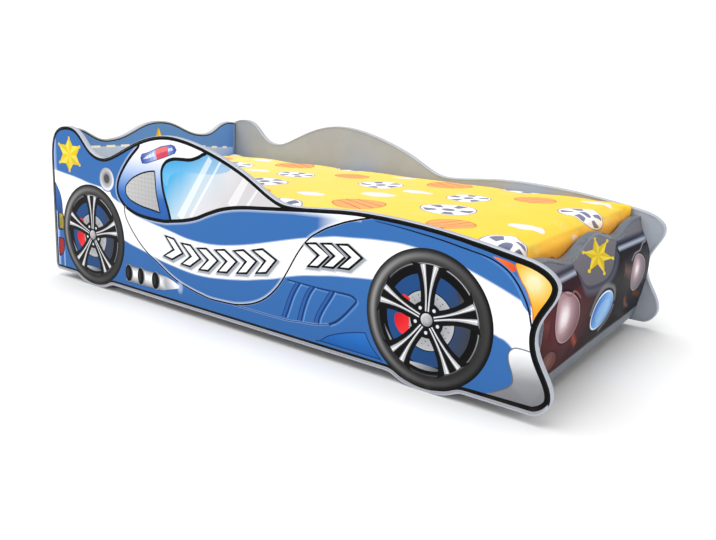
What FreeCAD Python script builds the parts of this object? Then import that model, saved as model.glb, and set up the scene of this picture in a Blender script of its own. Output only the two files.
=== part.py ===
import FreeCAD, Part
import math
import os

# A child's bed in the shape of a car. Millimetres, +X to the nose, +Z up, origin on the floor
# below the middle of the bed. The right side is at -Y, the left side at +Y.

Vector = FreeCAD.Vector
doc = FreeCAD.newDocument("CarBed")

# ---------------------------------------------------------------- driving dimensions
sheet = doc.addObject("Spreadsheet::Sheet", "Sizes")
driving_sizes = [
    # the mattress and the room round it
    ("mattress_length", 1640.0),
    ("mattress_width", 800.0),
    ("mattress_thickness", 140.0),
    ("mattress_crown", 5.0),
    ("mattress_waist", 4.0),
    ("mattress_corner", 45.0),
    ("mattress_lift", 0.3),
    ("cover_padding", 5.0),
    ("core_gap", 0.5),
    ("head_gap", 3.5),
    ("foot_gap", 11.5),
    ("side_gap", 4.9),
    # boards, their edging and their printed film
    ("board_thickness", 16.0),
    ("trim_wall", 1.6),
    ("trim_lip", 5.0),
    ("trim_slack", 0.15),
    ("trim_round", 3.0),
    ("film_thickness", 0.25),
    ("film_gap", 0.3),
    ("film_seat", 0.05),
    ("notch_gap", 0.3),
    ("floor_relief", 0.6),
    # the car's outline: heights above the floor, and lengths from a wheel or an end
    ("tail_overhang", 29.0),
    ("nose_reach", 81.0),
    ("sill_height", 21.5),
    ("tail_corner", 18.0),
    ("tail_turn_height", 395.0),
    ("tail_peak_back", 99.5),
    ("tail_peak_height", 521.3),
    ("rear_overhang", 219.0),
    ("tail_dip_ahead", 64.1),
    ("tail_dip_height", 433.7),
    ("roof_ahead", 385.1),
    ("roof_height", 526.4),
    ("screen_ahead", 714.1),
    ("screen_height", 437.6),
    ("screen_slope", 28.3),
    ("waist_ahead", 856.6),
    ("waist_height", 383.3),
    ("front_overhang", 306.0),
    ("bonnet_behind", 179.5),
    ("bonnet_height", 397.9),
    ("shoulder_back", 81.5),
    ("shoulder_height", 357.3),
    ("shoulder_slope", 10.3),
    ("nose_back", 5.3),
    ("nose_height", 304.4),
    ("throat_back", 44.5),
    ("throat_height", 193.0),
    ("toe_height", 68.3),
    ("toe_heel_back", 43.5),
    # the wheel bulges that the sides stand on
    ("arch_radius", 125.0),
    ("arch_blend", 50.0),
    ("foot_half", 22.0),
    # the headboard's outline from the side board to the middle, against the tail's peak
    ("headboard_end_drop", 17.8),
    ("headboard_horn_drop", 10.3),
    ("headboard_horn_in", 40.0),
    ("headboard_dip_drop", 55.3),
    ("headboard_dip_in", 175.0),
    ("headboard_peak_rise", 2.7),
    ("board_bottom", 44.0),
    # the bumper's outline from the front, and its bulge seen from the side
    ("bumper_end", 338.0),
    ("bumper_horn", 340.5),
    ("bumper_horn_in", 60.0),
    ("bumper_dip", 313.5),
    ("bumper_dip_in", 219.0),
    ("bumper_peak", 347.5),
    ("bumper_bottom", 38.0),
    ("bumper_top_depth", 2.5),
    ("bumper_bulge", 42.0),
    ("bumper_bulge_height", 212.0),
    ("bumper_bottom_depth", 14.5),
    ("bumper_bottom_slope", 100.0),
    ("shell_wall", 3.0),
    ("shell_side_gap", 0.3),
    ("ledge_gap", 0.3),
    ("film_top_inset", 10.0),
    ("film_side_inset", 3.0),
    ("film_bottom_inset", 28.5),
    ("boss_radius", 5.0),
    ("boss_in", 105.0),
    ("boss_low", 85.0),
    ("boss_high", 235.0),
    # the battens and the loose slatted base
    ("base_top", 227.5),
    ("rail_width", 25.0),
    ("rail_height", 40.0),
    ("rail_end_gap", 1.0),
    ("rail_screw_count", 6.0),
    ("rail_screw_margin", 110.0),
    ("slat_count", 14.0),
    ("slat_width", 70.0),
    ("slat_thickness", 18.0),
    ("slat_round", 3.0),
    ("slat_margin", 8.0),
    ("slat_end_gap", 6.9),
    ("ribbon_width", 20.0),
    ("ribbon_thickness", 1.0),
    ("ribbon_in", 155.0),
    ("ribbon_margin", 6.0),
    ("staple_crown", 10.0),
    ("staple_wire", 0.8),
    ("staple_depth", 8.0),
    # the fittings at the four corners
    ("cam_low", 80.0),
    ("cam_high", 280.0),
    ("cam_radius", 7.5),
    ("cam_floor", 3.5),
    ("cam_setback", 34.0),
    ("cam_bolt_radius", 3.0),
    ("cam_thread_radius", 2.5),
    ("cam_thread_length", 11.0),
    ("cap_overlap", 1.25),
    ("cap_thickness", 1.2),
    ("dowel_low", 130.0),
    ("dowel_high", 235.0),
    ("dowel_radius", 4.0),
    ("dowel_length", 30.0),
    ("dowel_in_side", 10.0),
    ("bore_slack", 0.1),
    ("bore_spare", 0.5),
    ("screw_radius", 2.0),
    ("screw_head_radius", 4.0),
    ("screw_bite", 10.0),
    ("pan_head_height", 2.4),
]
for row, (alias, value) in enumerate(driving_sizes, start=1):
    sheet.set("A%d" % row, alias.replace("_", " "))
    sheet.set("B%d" % row, str(value))
    sheet.setAlias("B%d" % row, alias)
doc.recompute()


def size(alias):
    return float(sheet.get(alias))


# ---------------------------------------------------------------- places worked out from them
board = size("board_thickness")
wall = size("trim_wall")
lip = size("trim_lip")
tail_peak = size("tail_peak_height")
headboard_dip = tail_peak - size("headboard_dip_drop")
headboard_peak = tail_peak + size("headboard_peak_rise")
slack = size("bore_slack")
spare = size("bore_spare")
inner_length = size("mattress_length") + size("head_gap") + size("foot_gap")
overall_length = inner_length + 2 * board + size("tail_overhang") + size("nose_reach")
side_inner = size("mattress_width") / 2 + size("side_gap")
side_middle = side_inner + board / 2
side_outer = side_inner + board
tail_x = -overall_length / 2
toe_x = overall_length / 2
head_face = tail_x + size("tail_overhang") + board
head_middle = head_face - board / 2
foot_face = head_face + inner_length
foot_middle = foot_face + board / 2
foot_front = foot_face + board
rear_wheel_x = tail_x + size("rear_overhang")
front_wheel_x = toe_x - size("front_overhang")
shell_side = wall + size("shell_side_gap")
slat_bottom = size("base_top") - size("slat_thickness")
past = 5.0  # how far a cutting piece runs past what it cuts

# the same places as expressions for the document's own placements
side_middle_size = "(Sizes.mattress_width / 2 + Sizes.side_gap + Sizes.board_thickness / 2)"
film_middle_size = (
    "(Sizes.mattress_width / 2 + Sizes.side_gap + Sizes.board_thickness + Sizes.film_thickness / 2)")
inner_length_size = "(Sizes.mattress_length + Sizes.head_gap + Sizes.foot_gap)"
head_face_size = (
    "((Sizes.tail_overhang - Sizes.nose_reach - %s) / 2)" % inner_length_size)
foot_face_size = "(%s + %s)" % (head_face_size, inner_length_size)
side_inner_size = "(Sizes.mattress_width / 2 + Sizes.side_gap)"
slat_bottom_size = "(Sizes.base_top - Sizes.slat_thickness)"


# ---------------------------------------------------------------- outlines in a plane
def heading_vector(degrees):
    return Vector(math.cos(math.radians(degrees)), math.sin(math.radians(degrees)), 0)


def right_of(way):
    return Vector(way.y, -way.x, 0)


def bend(first, second, reach):
    # left-hand curvature at one end of a cubic, from the control leg there and the one beside it
    return 2 / 3 * first.cross(second).z / reach ** 3


def smooth_chain(stations, inset):
    # Cubics through stations: (u, v, heading, hold before, hold after). A hold is the share of the
    # span that its tangent rules. The solid lies to the right, and inset moves the curve that way.
    curves = []
    for start, end in zip(stations, stations[1:]):
        start_way = heading_vector(start[2])
        end_way = heading_vector(end[2])
        p0 = Vector(start[0], start[1], 0)
        p3 = Vector(end[0], end[1], 0)
        span = (p3 - p0).Length
        start_reach = start[4] * span
        end_reach = end[3] * span
        p1 = p0 + start_way * start_reach
        p2 = p3 - end_way * end_reach
        start_bend = bend(p1 - p0, p2 - p1, start_reach)
        end_bend = bend(p2 - p1, p3 - p2, end_reach)
        q0 = p0 + right_of(start_way) * inset
        q3 = p3 + right_of(end_way) * inset
        q1 = q0 + start_way * start_reach * (1 + inset * start_bend)
        q2 = q3 - end_way * end_reach * (1 + inset * end_bend)
        bezier = Part.BezierCurve()
        bezier.setPoles([q0, q1, q2, q3])
        curves.append(bezier.toBSpline())
    return curves


def start_of(curve):
    return curve.value(curve.FirstParameter)


def end_of(curve):
    return curve.value(curve.LastParameter)


def line(u0, v0, u1, v1):
    return Part.LineSegment(Vector(u0, v0, 0), Vector(u1, v1, 0))


def arc(centre_u, centre_v, radius, start, end):
    # start and end in degrees; the arc turns the way that end lies
    centre = Vector(centre_u, centre_v, 0)
    points = [centre + heading_vector(angle) * radius for angle in (start, (start + end) / 2, end)]
    return Part.Arc(*points)


def bulge_reach():
    # from the end of a bulge's flat to where its blend meets the sill, and the angle between them
    drop = size("arch_radius") - size("sill_height") + size("arch_blend")
    centres = size("arch_radius") + size("arch_blend")
    reach = math.sqrt(centres ** 2 - drop ** 2)
    return reach, math.degrees(math.acos(reach / centres))


def wheel_bulge(wheel_x, inset, foot_drop):
    # one bulge under the sill, front to back; foot_drop lowers its flat below the inset outline
    radius = size("arch_radius") - inset
    blend = size("arch_blend") + inset
    centre_z = size("arch_radius")
    blend_z = size("sill_height") - size("arch_blend")
    half = size("foot_half")
    reach, angle = bulge_reach()
    low = inset - foot_drop
    pieces = [
        arc(wheel_x + half + reach, blend_z, blend, 90, 180 - angle),
        arc(wheel_x + half, centre_z, radius, -angle, -90),
    ]
    if foot_drop:
        pieces.append(line(wheel_x + half, inset, wheel_x + half, low))
    pieces.append(line(wheel_x + half, low, wheel_x - half, low))
    if foot_drop:
        pieces.append(line(wheel_x - half, low, wheel_x - half, inset))
    pieces.append(arc(wheel_x - half, centre_z, radius, -90, -180 + angle))
    pieces.append(arc(wheel_x - half - reach, blend_z, blend, angle, 90))
    return pieces


def side_outline(inset, foot_drop=0):
    # the car's outline in the XZ plane, from the tail over the roof to the nose and back below
    rear = rear_wheel_x
    front = front_wheel_x
    over_the_top = [
        (tail_x, size("tail_turn_height"), 90, 0, 0.54),
        (tail_x + size("tail_peak_back"), size("tail_peak_height"), 0, 0.48, 0.44),
        (rear + size("tail_dip_ahead"), size("tail_dip_height"), 0, 0.49, 0.20),
        (rear + size("roof_ahead"), size("roof_height"), 0, 0.45, 0.32),
        (rear + size("screen_ahead"), size("screen_height"), -size("screen_slope"), 0.19, 0.54),
        (rear + size("waist_ahead"), size("waist_height"), 0, 0.30, 0.30),
        (front - size("bonnet_behind"), size("bonnet_height"), 0, 0.40, 0.36),
        (toe_x - size("shoulder_back"), size("shoulder_height"), -size("shoulder_slope"), 0.36, 0.56),
        (toe_x - size("nose_back"), size("nose_height"), -90, 0.23, 0.32),
        (toe_x - size("throat_back"), size("throat_height"), -90, 0.43, 0.40),
        (toe_x, size("toe_height"), -90, 0.32, 0.33),
        (toe_x - size("toe_heel_back"), size("sill_height"), 180, 0.39, 0),
    ]
    sill = size("sill_height") + inset
    corner = size("tail_corner")
    corner_x = tail_x + corner
    corner_z = size("sill_height") + corner
    spread = size("foot_half") + bulge_reach()[0]
    outline = smooth_chain(over_the_top, inset)
    outline.append(line(toe_x - size("toe_heel_back"), sill, front + spread, sill))
    outline += wheel_bulge(front, inset, foot_drop)
    outline.append(line(front - spread, sill, rear + spread, sill))
    outline += wheel_bulge(rear, inset, foot_drop)
    outline.append(line(rear - spread, sill, corner_x, sill))
    outline.append(arc(corner_x, corner_z, corner - inset, -90, -180))
    outline.append(line(tail_x + inset, corner_z, tail_x + inset, size("tail_turn_height")))
    return outline


def cut_curve(curve, u, keep_after):
    # the part of a curve on one side of u, which the curve crosses once
    low = curve.FirstParameter
    high = curve.LastParameter
    for halving in range(50):
        middle = (low + high) / 2
        if curve.value(middle).x < u:
            low = middle
        else:
            high = middle
    piece = curve.copy()
    if keep_after:
        piece.segment(low, curve.LastParameter)
    else:
        piece.segment(curve.FirstParameter, high)
    return piece


def crest_outline(right_half, inset, side_inset, bottom):
    # an outline in the YZ plane: stations mirrored about the middle, cut at the sides, shut below
    left_half = [(-u, v, -angle, after, before) for u, v, angle, before, after in right_half[-2::-1]]
    curves = smooth_chain(right_half + left_half, inset)
    side = side_inner - side_inset
    curves[0] = cut_curve(curves[0], -side, True)
    curves[-1] = cut_curve(curves[-1], side, False)
    first = start_of(curves[0])
    last = end_of(curves[-1])
    curves.append(line(last.x, last.y, side, bottom))
    curves.append(line(side, bottom, -side, bottom))
    curves.append(line(-side, bottom, first.x, first.y))
    return curves


def headboard_outline(inset, side_inset, bottom):
    right_half = [
        (-side_inner - 2 * past, tail_peak - size("headboard_end_drop"), 12, 0, 0.30),
        (-side_inner + size("headboard_horn_in"), tail_peak - size("headboard_horn_drop"), 0, 0.40, 0.42),
        (-side_inner + size("headboard_dip_in"), headboard_dip, 0, 0.40, 0.42),
        (0, headboard_peak, 0, 0.42, 0.42),
    ]
    return crest_outline(right_half, inset, side_inset, bottom)


def bumper_outline(inset, side_inset, bottom):
    right_half = [
        (-side_inner - 2 * past, size("bumper_end"), 3, 0, 0.30),
        (-side_inner + size("bumper_horn_in"), size("bumper_horn"), 0, 0.30, 0.45),
        (-side_inner + size("bumper_dip_in"), size("bumper_dip"), 0, 0.32, 0.34),
        (0, size("bumper_peak"), 0, 0.42, 0.42),
    ]
    return crest_outline(right_half, inset, side_inset, bottom)


def bulge_profile(inset):
    # the bumper's front seen from the side, in the XZ plane, from above its top to its bottom
    # edge; travelling down, the solid lies to the right
    stations = [
        (foot_front + size("bumper_top_depth"), size("bumper_peak") + past, -90, 0, 0.45),
        (foot_front + size("bumper_bulge"), size("bumper_bulge_height"), -90, 0.42, 0.40),
        (foot_front + size("bumper_bottom_depth"), size("bumper_bottom"),
         -size("bumper_bottom_slope"), 0.28, 0),
    ]
    return smooth_chain(stations, inset)


# ---------------------------------------------------------------- building blocks
nodes = {}


def keep(obj, label):
    obj.Label = label
    nodes[label] = obj
    return obj


def origin_plane(body, role):
    for feature in body.Origin.OriginFeatures:
        if feature.Role == role:
            return feature
    raise ValueError(role)


def sketch_on(body, role, geometry):
    sketch = body.newObject("Sketcher::SketchObject", body.Name + "_outline")
    sketch.AttachmentSupport = [(origin_plane(body, role), "")]
    sketch.MapMode = "FlatFace"
    sketch.addGeometry(geometry, False)
    return sketch


def plate(name, role, geometry, thickness):
    # a plate of the given outline, centred on its plane; thickness is an expression
    body = doc.addObject("PartDesign::Body", name)
    pad = body.newObject("PartDesign::Pad", name + "_pad")
    pad.Profile = sketch_on(body, role, geometry)
    pad.SideType = "Symmetric"
    pad.setExpression("Length", thickness)
    body.Tip = pad
    return body


def turned(name, profile):
    # profile: (radius, height) corners from the axis at the bottom to the axis at the top
    body = doc.addObject("PartDesign::Body", name)
    corners = list(profile) + [profile[0]]
    sketch = sketch_on(body, "XZ_Plane", [line(*a, *b) for a, b in zip(corners, corners[1:])])
    spin = body.newObject("PartDesign::Revolution", name + "_turned")
    spin.Profile = sketch
    spin.ReferenceAxis = (sketch, ["V_Axis"])
    spin.Angle = 360
    body.Tip = spin
    return body


def shift(obj, x=None, y=None, z=None):
    for axis, expression in (("x", x), ("y", y), ("z", z)):
        if expression is not None:
            obj.setExpression("Placement.Base." + axis, expression)
    return obj


def block(name, corner, extent):
    # a box whose corner and extent are expressions
    piece = doc.addObject("Part::Box", name)
    for prop, expression in zip(("Length", "Width", "Height"), extent):
        piece.setExpression(prop, expression)
    return shift(piece, *corner)


def cutter_box(name, low, high):
    piece = doc.addObject("Part::Box", name)
    piece.Length = high[0] - low[0]
    piece.Width = high[1] - low[1]
    piece.Height = high[2] - low[2]
    piece.Placement.Base = Vector(*low)
    return piece


def cutter_rod(name, radius, length, start, way):
    piece = doc.addObject("Part::Cylinder", name)
    piece.Radius = radius
    piece.Height = length
    piece.Placement = aimed(start, way)
    return piece


def aimed(start, way, side=None):
    # puts a piece made along +Z at start, pointing along way, with its +Y along side
    up = Vector(*way)
    across = Vector(*side) if side else Vector(way[1], way[2], way[0])
    turn = FreeCAD.Rotation(across.cross(up), across, up, "ZYX")
    return FreeCAD.Placement(Vector(*start), turn)


def join(name, shapes):
    if len(shapes) == 1:
        return shapes[0]
    result = doc.addObject("Part::MultiFuse", name)
    result.Shapes = shapes
    return result


def cut(name, base, tools):
    result = doc.addObject("Part::Cut", name)
    result.Base = base
    result.Tool = join(name + "_tools", tools)
    return result


def common(name, shapes):
    result = doc.addObject("Part::MultiCommon", name)
    result.Shapes = shapes
    return result


def rounded_plate(name, role, outline_at):
    # a plate as thick as the edging, lofted through its outline so that both its rims are round
    body = doc.addObject("PartDesign::Body", name)
    turns = (90, 60, 30, 0)
    profiles = []
    for way, turn in [(-1, turn) for turn in turns] + [(1, turn) for turn in reversed(turns)]:
        draw_in = size("trim_round") * (1 - math.cos(math.radians(turn)))
        sketch = sketch_on(body, role, outline_at(draw_in))
        sketch.setExpression("AttachmentOffset.Base.z", (
            "%d * (Sizes.board_thickness / 2 + Sizes.trim_wall - Sizes.trim_round * (1 - sin(%d deg)))"
            % (way, turn)))
        profiles.append(sketch)
    loft = body.newObject("PartDesign::AdditiveLoft", name + "_loft")
    loft.Profile = profiles[0]
    loft.Sections = profiles[1:]
    loft.Ruled = True
    body.Tip = loft
    return body


def group(name, template, places):
    # one node that holds a separate solid at each place
    doc.recompute()
    result = doc.addObject("Part::Feature", name)
    result.Shape = Part.makeCompound([template.Shape.transformed(p.toMatrix()) for p in places])
    return result


sides = (("right", -1), ("left", 1))

# ---------------------------------------------------------------- corner fittings
# each corner has two cams with their bolts, and two dowels
cam_heights = (size("cam_low"), size("cam_high"))
dowel_heights = (size("dowel_low"), size("dowel_high"))
cam_depth = board - size("cam_floor")
cam_throat_gap = 0.7
cam_throat_radius = size("cam_bolt_radius") + cam_throat_gap
cam_cell_past = 4.0
bolt_length = size("cam_setback") + 1
peg_radius = 1.5
peg_length = 3.0
drive_width = 1.4
drive_depth = 1.6
drive_half = size("cam_radius") - 2.5
chamfer = 1.0

cam_bolt = turned("cam_bolt_pattern", [
    (0, -size("cam_thread_length")),
    (size("cam_thread_radius") - chamfer, -size("cam_thread_length")),
    (size("cam_thread_radius"), 2 * chamfer - size("cam_thread_length")),
    (size("cam_thread_radius"), 0),
    (size("cam_bolt_radius"), 0),
    (size("cam_bolt_radius"), bolt_length - 8),
    (size("cam_bolt_radius") - chamfer, bolt_length - 7),
    (size("cam_bolt_radius") - chamfer, bolt_length - 4),
    (size("cam_bolt_radius"), bolt_length - 3),
    (size("cam_bolt_radius"), bolt_length),
    (0, bolt_length),
])
dowel = turned("dowel_pattern", [
    (0, 0),
    (size("dowel_radius") - chamfer, 0),
    (size("dowel_radius"), chamfer),
    (size("dowel_radius"), size("dowel_length") - chamfer),
    (size("dowel_radius") - chamfer, size("dowel_length")),
    (0, size("dowel_length")),
])
cam_drum = turned("cam_drum", [
    (0, -cam_depth),
    (size("cam_radius"), -cam_depth),
    (size("cam_radius"), 0),
    (peg_radius + slack, 0),
    (peg_radius + slack, -peg_length - slack),
    (0, -peg_length - slack),
])
cam_throat = cutter_rod(
    "cam_throat", cam_throat_radius, size("cam_radius") + past + cam_cell_past,
    (0, size("cam_radius") + past, -board / 2), (0, -1, 0))
cam_drive = [
    cutter_box(
        "cam_drive_along", (-drive_half, -drive_width / 2, -drive_depth), (drive_half, drive_width / 2, past)),
    cutter_box(
        "cam_drive_across", (-drive_width / 2, -drive_half, -drive_depth), (drive_width / 2, drive_half, past)),
]
cam_housing = cut("cam_housing_pattern", cam_drum, [cam_throat] + cam_drive)
cap_radius = size("cam_radius") + size("cap_overlap")
cam_cap = turned("cam_cap_pattern", [
    (0, -peg_length),
    (peg_radius, -peg_length),
    (peg_radius, 0),
    (cap_radius, 0),
    (cap_radius, size("cap_thickness") / 2),
    (cap_radius - size("cap_thickness") / 2, size("cap_thickness")),
    (0, size("cap_thickness")),
])

# both end boards take their cams from behind, so every cam faces the tail
end_boards = {"headboard": head_middle, "footboard": foot_middle}
cam_places = []
bolt_places = []
dowel_places = []
for middle_x in end_boards.values():
    for side_name, sign in sides:
        for height in cam_heights:
            cam_y = sign * (side_inner - size("cam_setback"))
            cam_places.append(aimed((middle_x - board / 2, cam_y, height), (-1, 0, 0), (0, sign, 0)))
            bolt_places.append(aimed((middle_x, sign * side_inner, height), (0, -sign, 0)))
        for height in dowel_heights:
            start_y = sign * (side_inner + size("dowel_in_side"))
            dowel_places.append(aimed((middle_x, start_y, height), (0, -sign, 0)))
keep(group("CamHousings", cam_housing, cam_places), "cam_housings")
keep(group("CamCaps", cam_cap, cam_places), "cam_caps")
keep(group("CamBolts", cam_bolt, bolt_places), "cam_bolts")
keep(group("WoodenDowels", dowel, dowel_places), "wooden_dowels")


def side_bores(side_name, sign):
    # the blind holes in a side board's inner face for the bolts, dowels and batten screws
    holes = []
    for board_name, middle_x in end_boards.items():
        for height in cam_heights:
            holes.append(cutter_rod(
                "thread_%s_%s_%d" % (side_name, board_name, height),
                size("cam_thread_radius") + slack, size("cam_thread_length") + spare,
                (middle_x, sign * side_inner, height), (0, sign, 0)))
        for height in dowel_heights:
            holes.append(cutter_rod(
                "dowel_%s_%s_%d" % (side_name, board_name, height),
                size("dowel_radius") + slack, size("dowel_in_side") + spare,
                (middle_x, sign * side_inner, height), (0, sign, 0)))
    for number, screw_x in enumerate(rail_screw_stations):
        holes.append(cutter_rod(
            "pilot_%s_%d" % (side_name, number),
            size("screw_radius") + slack, size("screw_bite") + spare,
            (screw_x, sign * side_inner, rail_screw_height), (0, sign, 0)))
    return holes


def end_board_bores(board_name):
    # the cam pockets, and the bores in both ends for the cam bolts and the dowels
    middle_x = end_boards[board_name]
    holes = []
    for side_name, sign in sides:
        for height in cam_heights:
            tag = "%s_%s_%d" % (board_name, side_name, height)
            cam_y = sign * (side_inner - size("cam_setback"))
            holes.append(cutter_rod(
                "pocket_" + tag, size("cam_radius") + slack, cam_depth + slack,
                (middle_x - board / 2, cam_y, height), (1, 0, 0)))
            holes.append(cutter_rod(
                "bolt_way_" + tag, cam_throat_radius, size("cam_setback") + cam_cell_past + past,
                (middle_x, sign * (side_inner + past), height), (0, -sign, 0)))
        for height in dowel_heights:
            depth = size("dowel_length") - size("dowel_in_side") + spare
            holes.append(cutter_rod(
                "dowel_%s_%s_%d" % (board_name, side_name, height),
                size("dowel_radius") + slack, depth + past,
                (middle_x, sign * (side_inner + past), height), (0, -sign, 0)))
    return holes


# ---------------------------------------------------------------- side boards, edging and film
rail_screw_count = int(size("rail_screw_count"))
rail_screw_pitch = (inner_length - 2 * size("rail_screw_margin")) / (rail_screw_count - 1)
rail_screw_stations = [
    head_face + size("rail_screw_margin") + i * rail_screw_pitch for i in range(rail_screw_count)]
rail_screw_height = slat_bottom - size("rail_height") / 2


def side_panel(side_name, middle_y):
    body = plate(
        "side_board_" + side_name, "XZ_Plane", side_outline(wall, foot_drop=wall),
        "Sizes.board_thickness")
    return shift(body, y=middle_y)


def side_edging(side_name, sign, middle_y):
    # a rounded ring over the board's edge, slotted for the board and opened inside its lips
    ring = rounded_plate("edging_" + side_name, "XZ_Plane", side_outline)
    groove = plate(
        "edging_slot_" + side_name, "XZ_Plane", side_outline(wall - size("trim_slack")),
        "Sizes.board_thickness + 2 * Sizes.trim_slack")
    window = plate(
        "edging_window_" + side_name, "XZ_Plane", side_outline(lip),
        "Sizes.board_thickness + 4 * Sizes.trim_wall")
    for piece in (ring, groove, window):
        shift(piece, y=middle_y)

    # it stops just above the floor, and the board's feet come through it
    near = sign * side_middle - board
    far = sign * side_middle + board
    tools = [groove, window]
    tools.append(cutter_box(
        "edging_floor_" + side_name, (tail_x, near, -past), (toe_x, far, size("floor_relief"))))
    foot_half = size("foot_half") + size("trim_slack")
    foot_near = sign * side_middle - board / 2 - size("trim_slack")
    foot_far = sign * side_middle + board / 2 + size("trim_slack")
    for wheel_name, wheel_x in (("rear", rear_wheel_x), ("front", front_wheel_x)):
        tools.append(cutter_box(
            "edging_foot_%s_%s" % (wheel_name, side_name),
            (wheel_x - foot_half, foot_near, -past), (wheel_x + foot_half, foot_far, past)))

    # the inner lip gives way to the headboard
    notch_half = board / 2 + wall + size("notch_gap")
    lip_faces = sorted((sign * side_inner, sign * (side_inner - 2 * wall)))
    tools.append(cutter_box(
        "edging_notch_" + side_name,
        (head_middle - notch_half, lip_faces[0], headboard_dip),
        (head_middle + notch_half, lip_faces[1], headboard_peak + past)))
    return cut("edging_solid_" + side_name, ring, tools)


def side_film(side_name, middle_y):
    body = plate(
        "film_" + side_name, "XZ_Plane", side_outline(lip + size("film_gap")), "Sizes.film_thickness")
    return shift(body, y=middle_y)


for side_name, sign in sides:
    way = "" if sign > 0 else "-"
    panel = side_panel(side_name, way + side_middle_size)
    bored = cut("side_bored_" + side_name, panel, side_bores(side_name, sign))
    keep(bored, "side_panel_" + side_name)
    keep(side_edging(side_name, sign, way + side_middle_size), "side_trim_" + side_name)
    keep(side_film(side_name, way + film_middle_size), "side_print_" + side_name)

# ---------------------------------------------------------------- headboard
head_middle_size = "%s - Sizes.board_thickness / 2" % head_face_size
head_board = plate(
    "headboard_board", "YZ_Plane", headboard_outline(wall, 0, size("board_bottom")),
    "Sizes.board_thickness")
shift(head_board, x=head_middle_size)
keep(cut("headboard_bored", head_board, end_board_bores("headboard")), "headboard")

band_bottom = headboard_dip - 3 * lip
band_end_gap = size("trim_slack")
band = rounded_plate(
    "headboard_band", "YZ_Plane", lambda inset: headboard_outline(inset, band_end_gap, band_bottom))
band_slot = plate(
    "headboard_band_slot", "YZ_Plane",
    headboard_outline(wall - size("trim_slack"), -past, band_bottom - past),
    "Sizes.board_thickness + 2 * Sizes.trim_slack")
band_window = plate(
    "headboard_band_window", "YZ_Plane", headboard_outline(lip, -past, band_bottom - past),
    "Sizes.board_thickness + 4 * Sizes.trim_wall")
for piece in (band, band_slot, band_window):
    shift(piece, x=head_middle_size)
keep(cut("headboard_band_solid", band, [band_slot, band_window]), "headboard_trim")

head_film = plate(
    "headboard_film", "YZ_Plane",
    headboard_outline(lip + size("film_gap"), wall + size("film_gap"), size("board_bottom") + wall),
    "Sizes.film_thickness")
shift(head_film, x="%s + Sizes.film_thickness / 2" % head_face_size)
keep(head_film, "headboard_print")

# ---------------------------------------------------------------- footboard and bumper
boss_places = []
for sign in (-1, 0, 1):
    for height in (size("boss_low"), size("boss_high")):
        boss_places.append((sign * (side_inner - size("boss_in")), height))

foot_board = plate(
    "footboard_board", "YZ_Plane",
    bumper_outline(size("shell_wall") + size("ledge_gap"), 0, size("board_bottom")),
    "Sizes.board_thickness")
shift(foot_board, x="%s + Sizes.board_thickness / 2" % foot_face_size)
foot_bores = end_board_bores("footboard")
for number, (boss_y, boss_z) in enumerate(boss_places):
    foot_bores.append(cutter_rod(
        "bumper_screw_way_%d" % number, size("screw_radius") + 2 * slack, board + 2 * past,
        (foot_face - past, boss_y, boss_z), (1, 0, 0)))
keep(cut("footboard_bored", foot_board, foot_bores), "footboard")


def bulge_block(name, inset, back_x):
    # everything behind the bulge's surface, moved in by inset, as far back as back_x
    profile = bulge_profile(inset)
    top = start_of(profile[0])
    bottom = end_of(profile[-1])
    profile += [
        line(bottom.x, bottom.y, back_x, bottom.y),
        line(back_x, bottom.y, back_x, top.y),
        line(back_x, top.y, top.x, top.y),
    ]
    return plate(name, "XZ_Plane", profile, "2 * %s" % side_inner_size)


def bulge_skin(name, outer_inset, inner_inset):
    # the layer between two insets of the bulge's surface
    outer = bulge_profile(outer_inset)
    inner = bulge_profile(inner_inset)
    closing = []
    for a, b in ((start_of(outer[0]), start_of(inner[0])), (end_of(outer[-1]), end_of(inner[-1]))):
        closing.append(line(a.x, a.y, b.x, b.y))
    return plate(name, "XZ_Plane", outer + inner + closing, "2 * %s" % side_inner_size)


def front_plate(name, inset, side_inset, bottom, start_x, end_x):
    # a plate of the bumper's front outline between two stations
    body = plate(name, "YZ_Plane", bumper_outline(inset, side_inset, bottom), str(end_x - start_x))
    body.Placement.Base.x = (start_x + end_x) / 2
    return body


shell_wall = size("shell_wall")
shell_front = foot_front + size("bumper_bulge") + past
bottom = size("bumper_bottom")
shell_solid = common("bumper_solid", [
    bulge_block("bumper_block", 0, foot_face),
    front_plate("bumper_front", 0, shell_side, bottom, foot_face, shell_front),
])
shell_cavity = common("bumper_cavity", [
    bulge_block("bumper_cavity_block", shell_wall, foot_face - past),
    front_plate(
        "bumper_cavity_front", shell_wall, shell_side + shell_wall, bottom + shell_wall,
        foot_face - past, shell_front),
])
board_seat = front_plate(
    "bumper_board_seat", shell_wall, -past, bottom - past, foot_face - past, foot_front)
film_pocket = common("bumper_film_pocket", [
    bulge_skin("bumper_pocket_skin", -1, size("film_thickness") + size("film_seat")),
    front_plate(
        "bumper_pocket_front", size("film_top_inset") - size("film_gap"),
        shell_side + size("film_side_inset") - size("film_gap"),
        bottom + size("film_bottom_inset") - size("film_gap"), foot_front, shell_front + past),
])
bumper_hollow = cut("bumper_hollow", shell_solid, [shell_cavity, board_seat, film_pocket])
boss_rods = join("bumper_boss_rods", [
    cutter_rod("boss_%d" % n, size("boss_radius"), shell_front - foot_front, (foot_front, y, z), (1, 0, 0))
    for n, (y, z) in enumerate(boss_places)])
bosses = common("bumper_bosses", [boss_rods, bulge_block("boss_limit", shell_wall / 2, foot_face)])
pilots = [
    cutter_rod(
        "boss_pilot_%d" % n, size("screw_radius") + slack, size("screw_bite") + 2 * spare + past,
        (foot_front - past, y, z), (1, 0, 0))
    for n, (y, z) in enumerate(boss_places)]
keep(cut("bumper_moulding", join("bumper_with_bosses", [bumper_hollow, bosses]), pilots), "bumper_shell")

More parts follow.
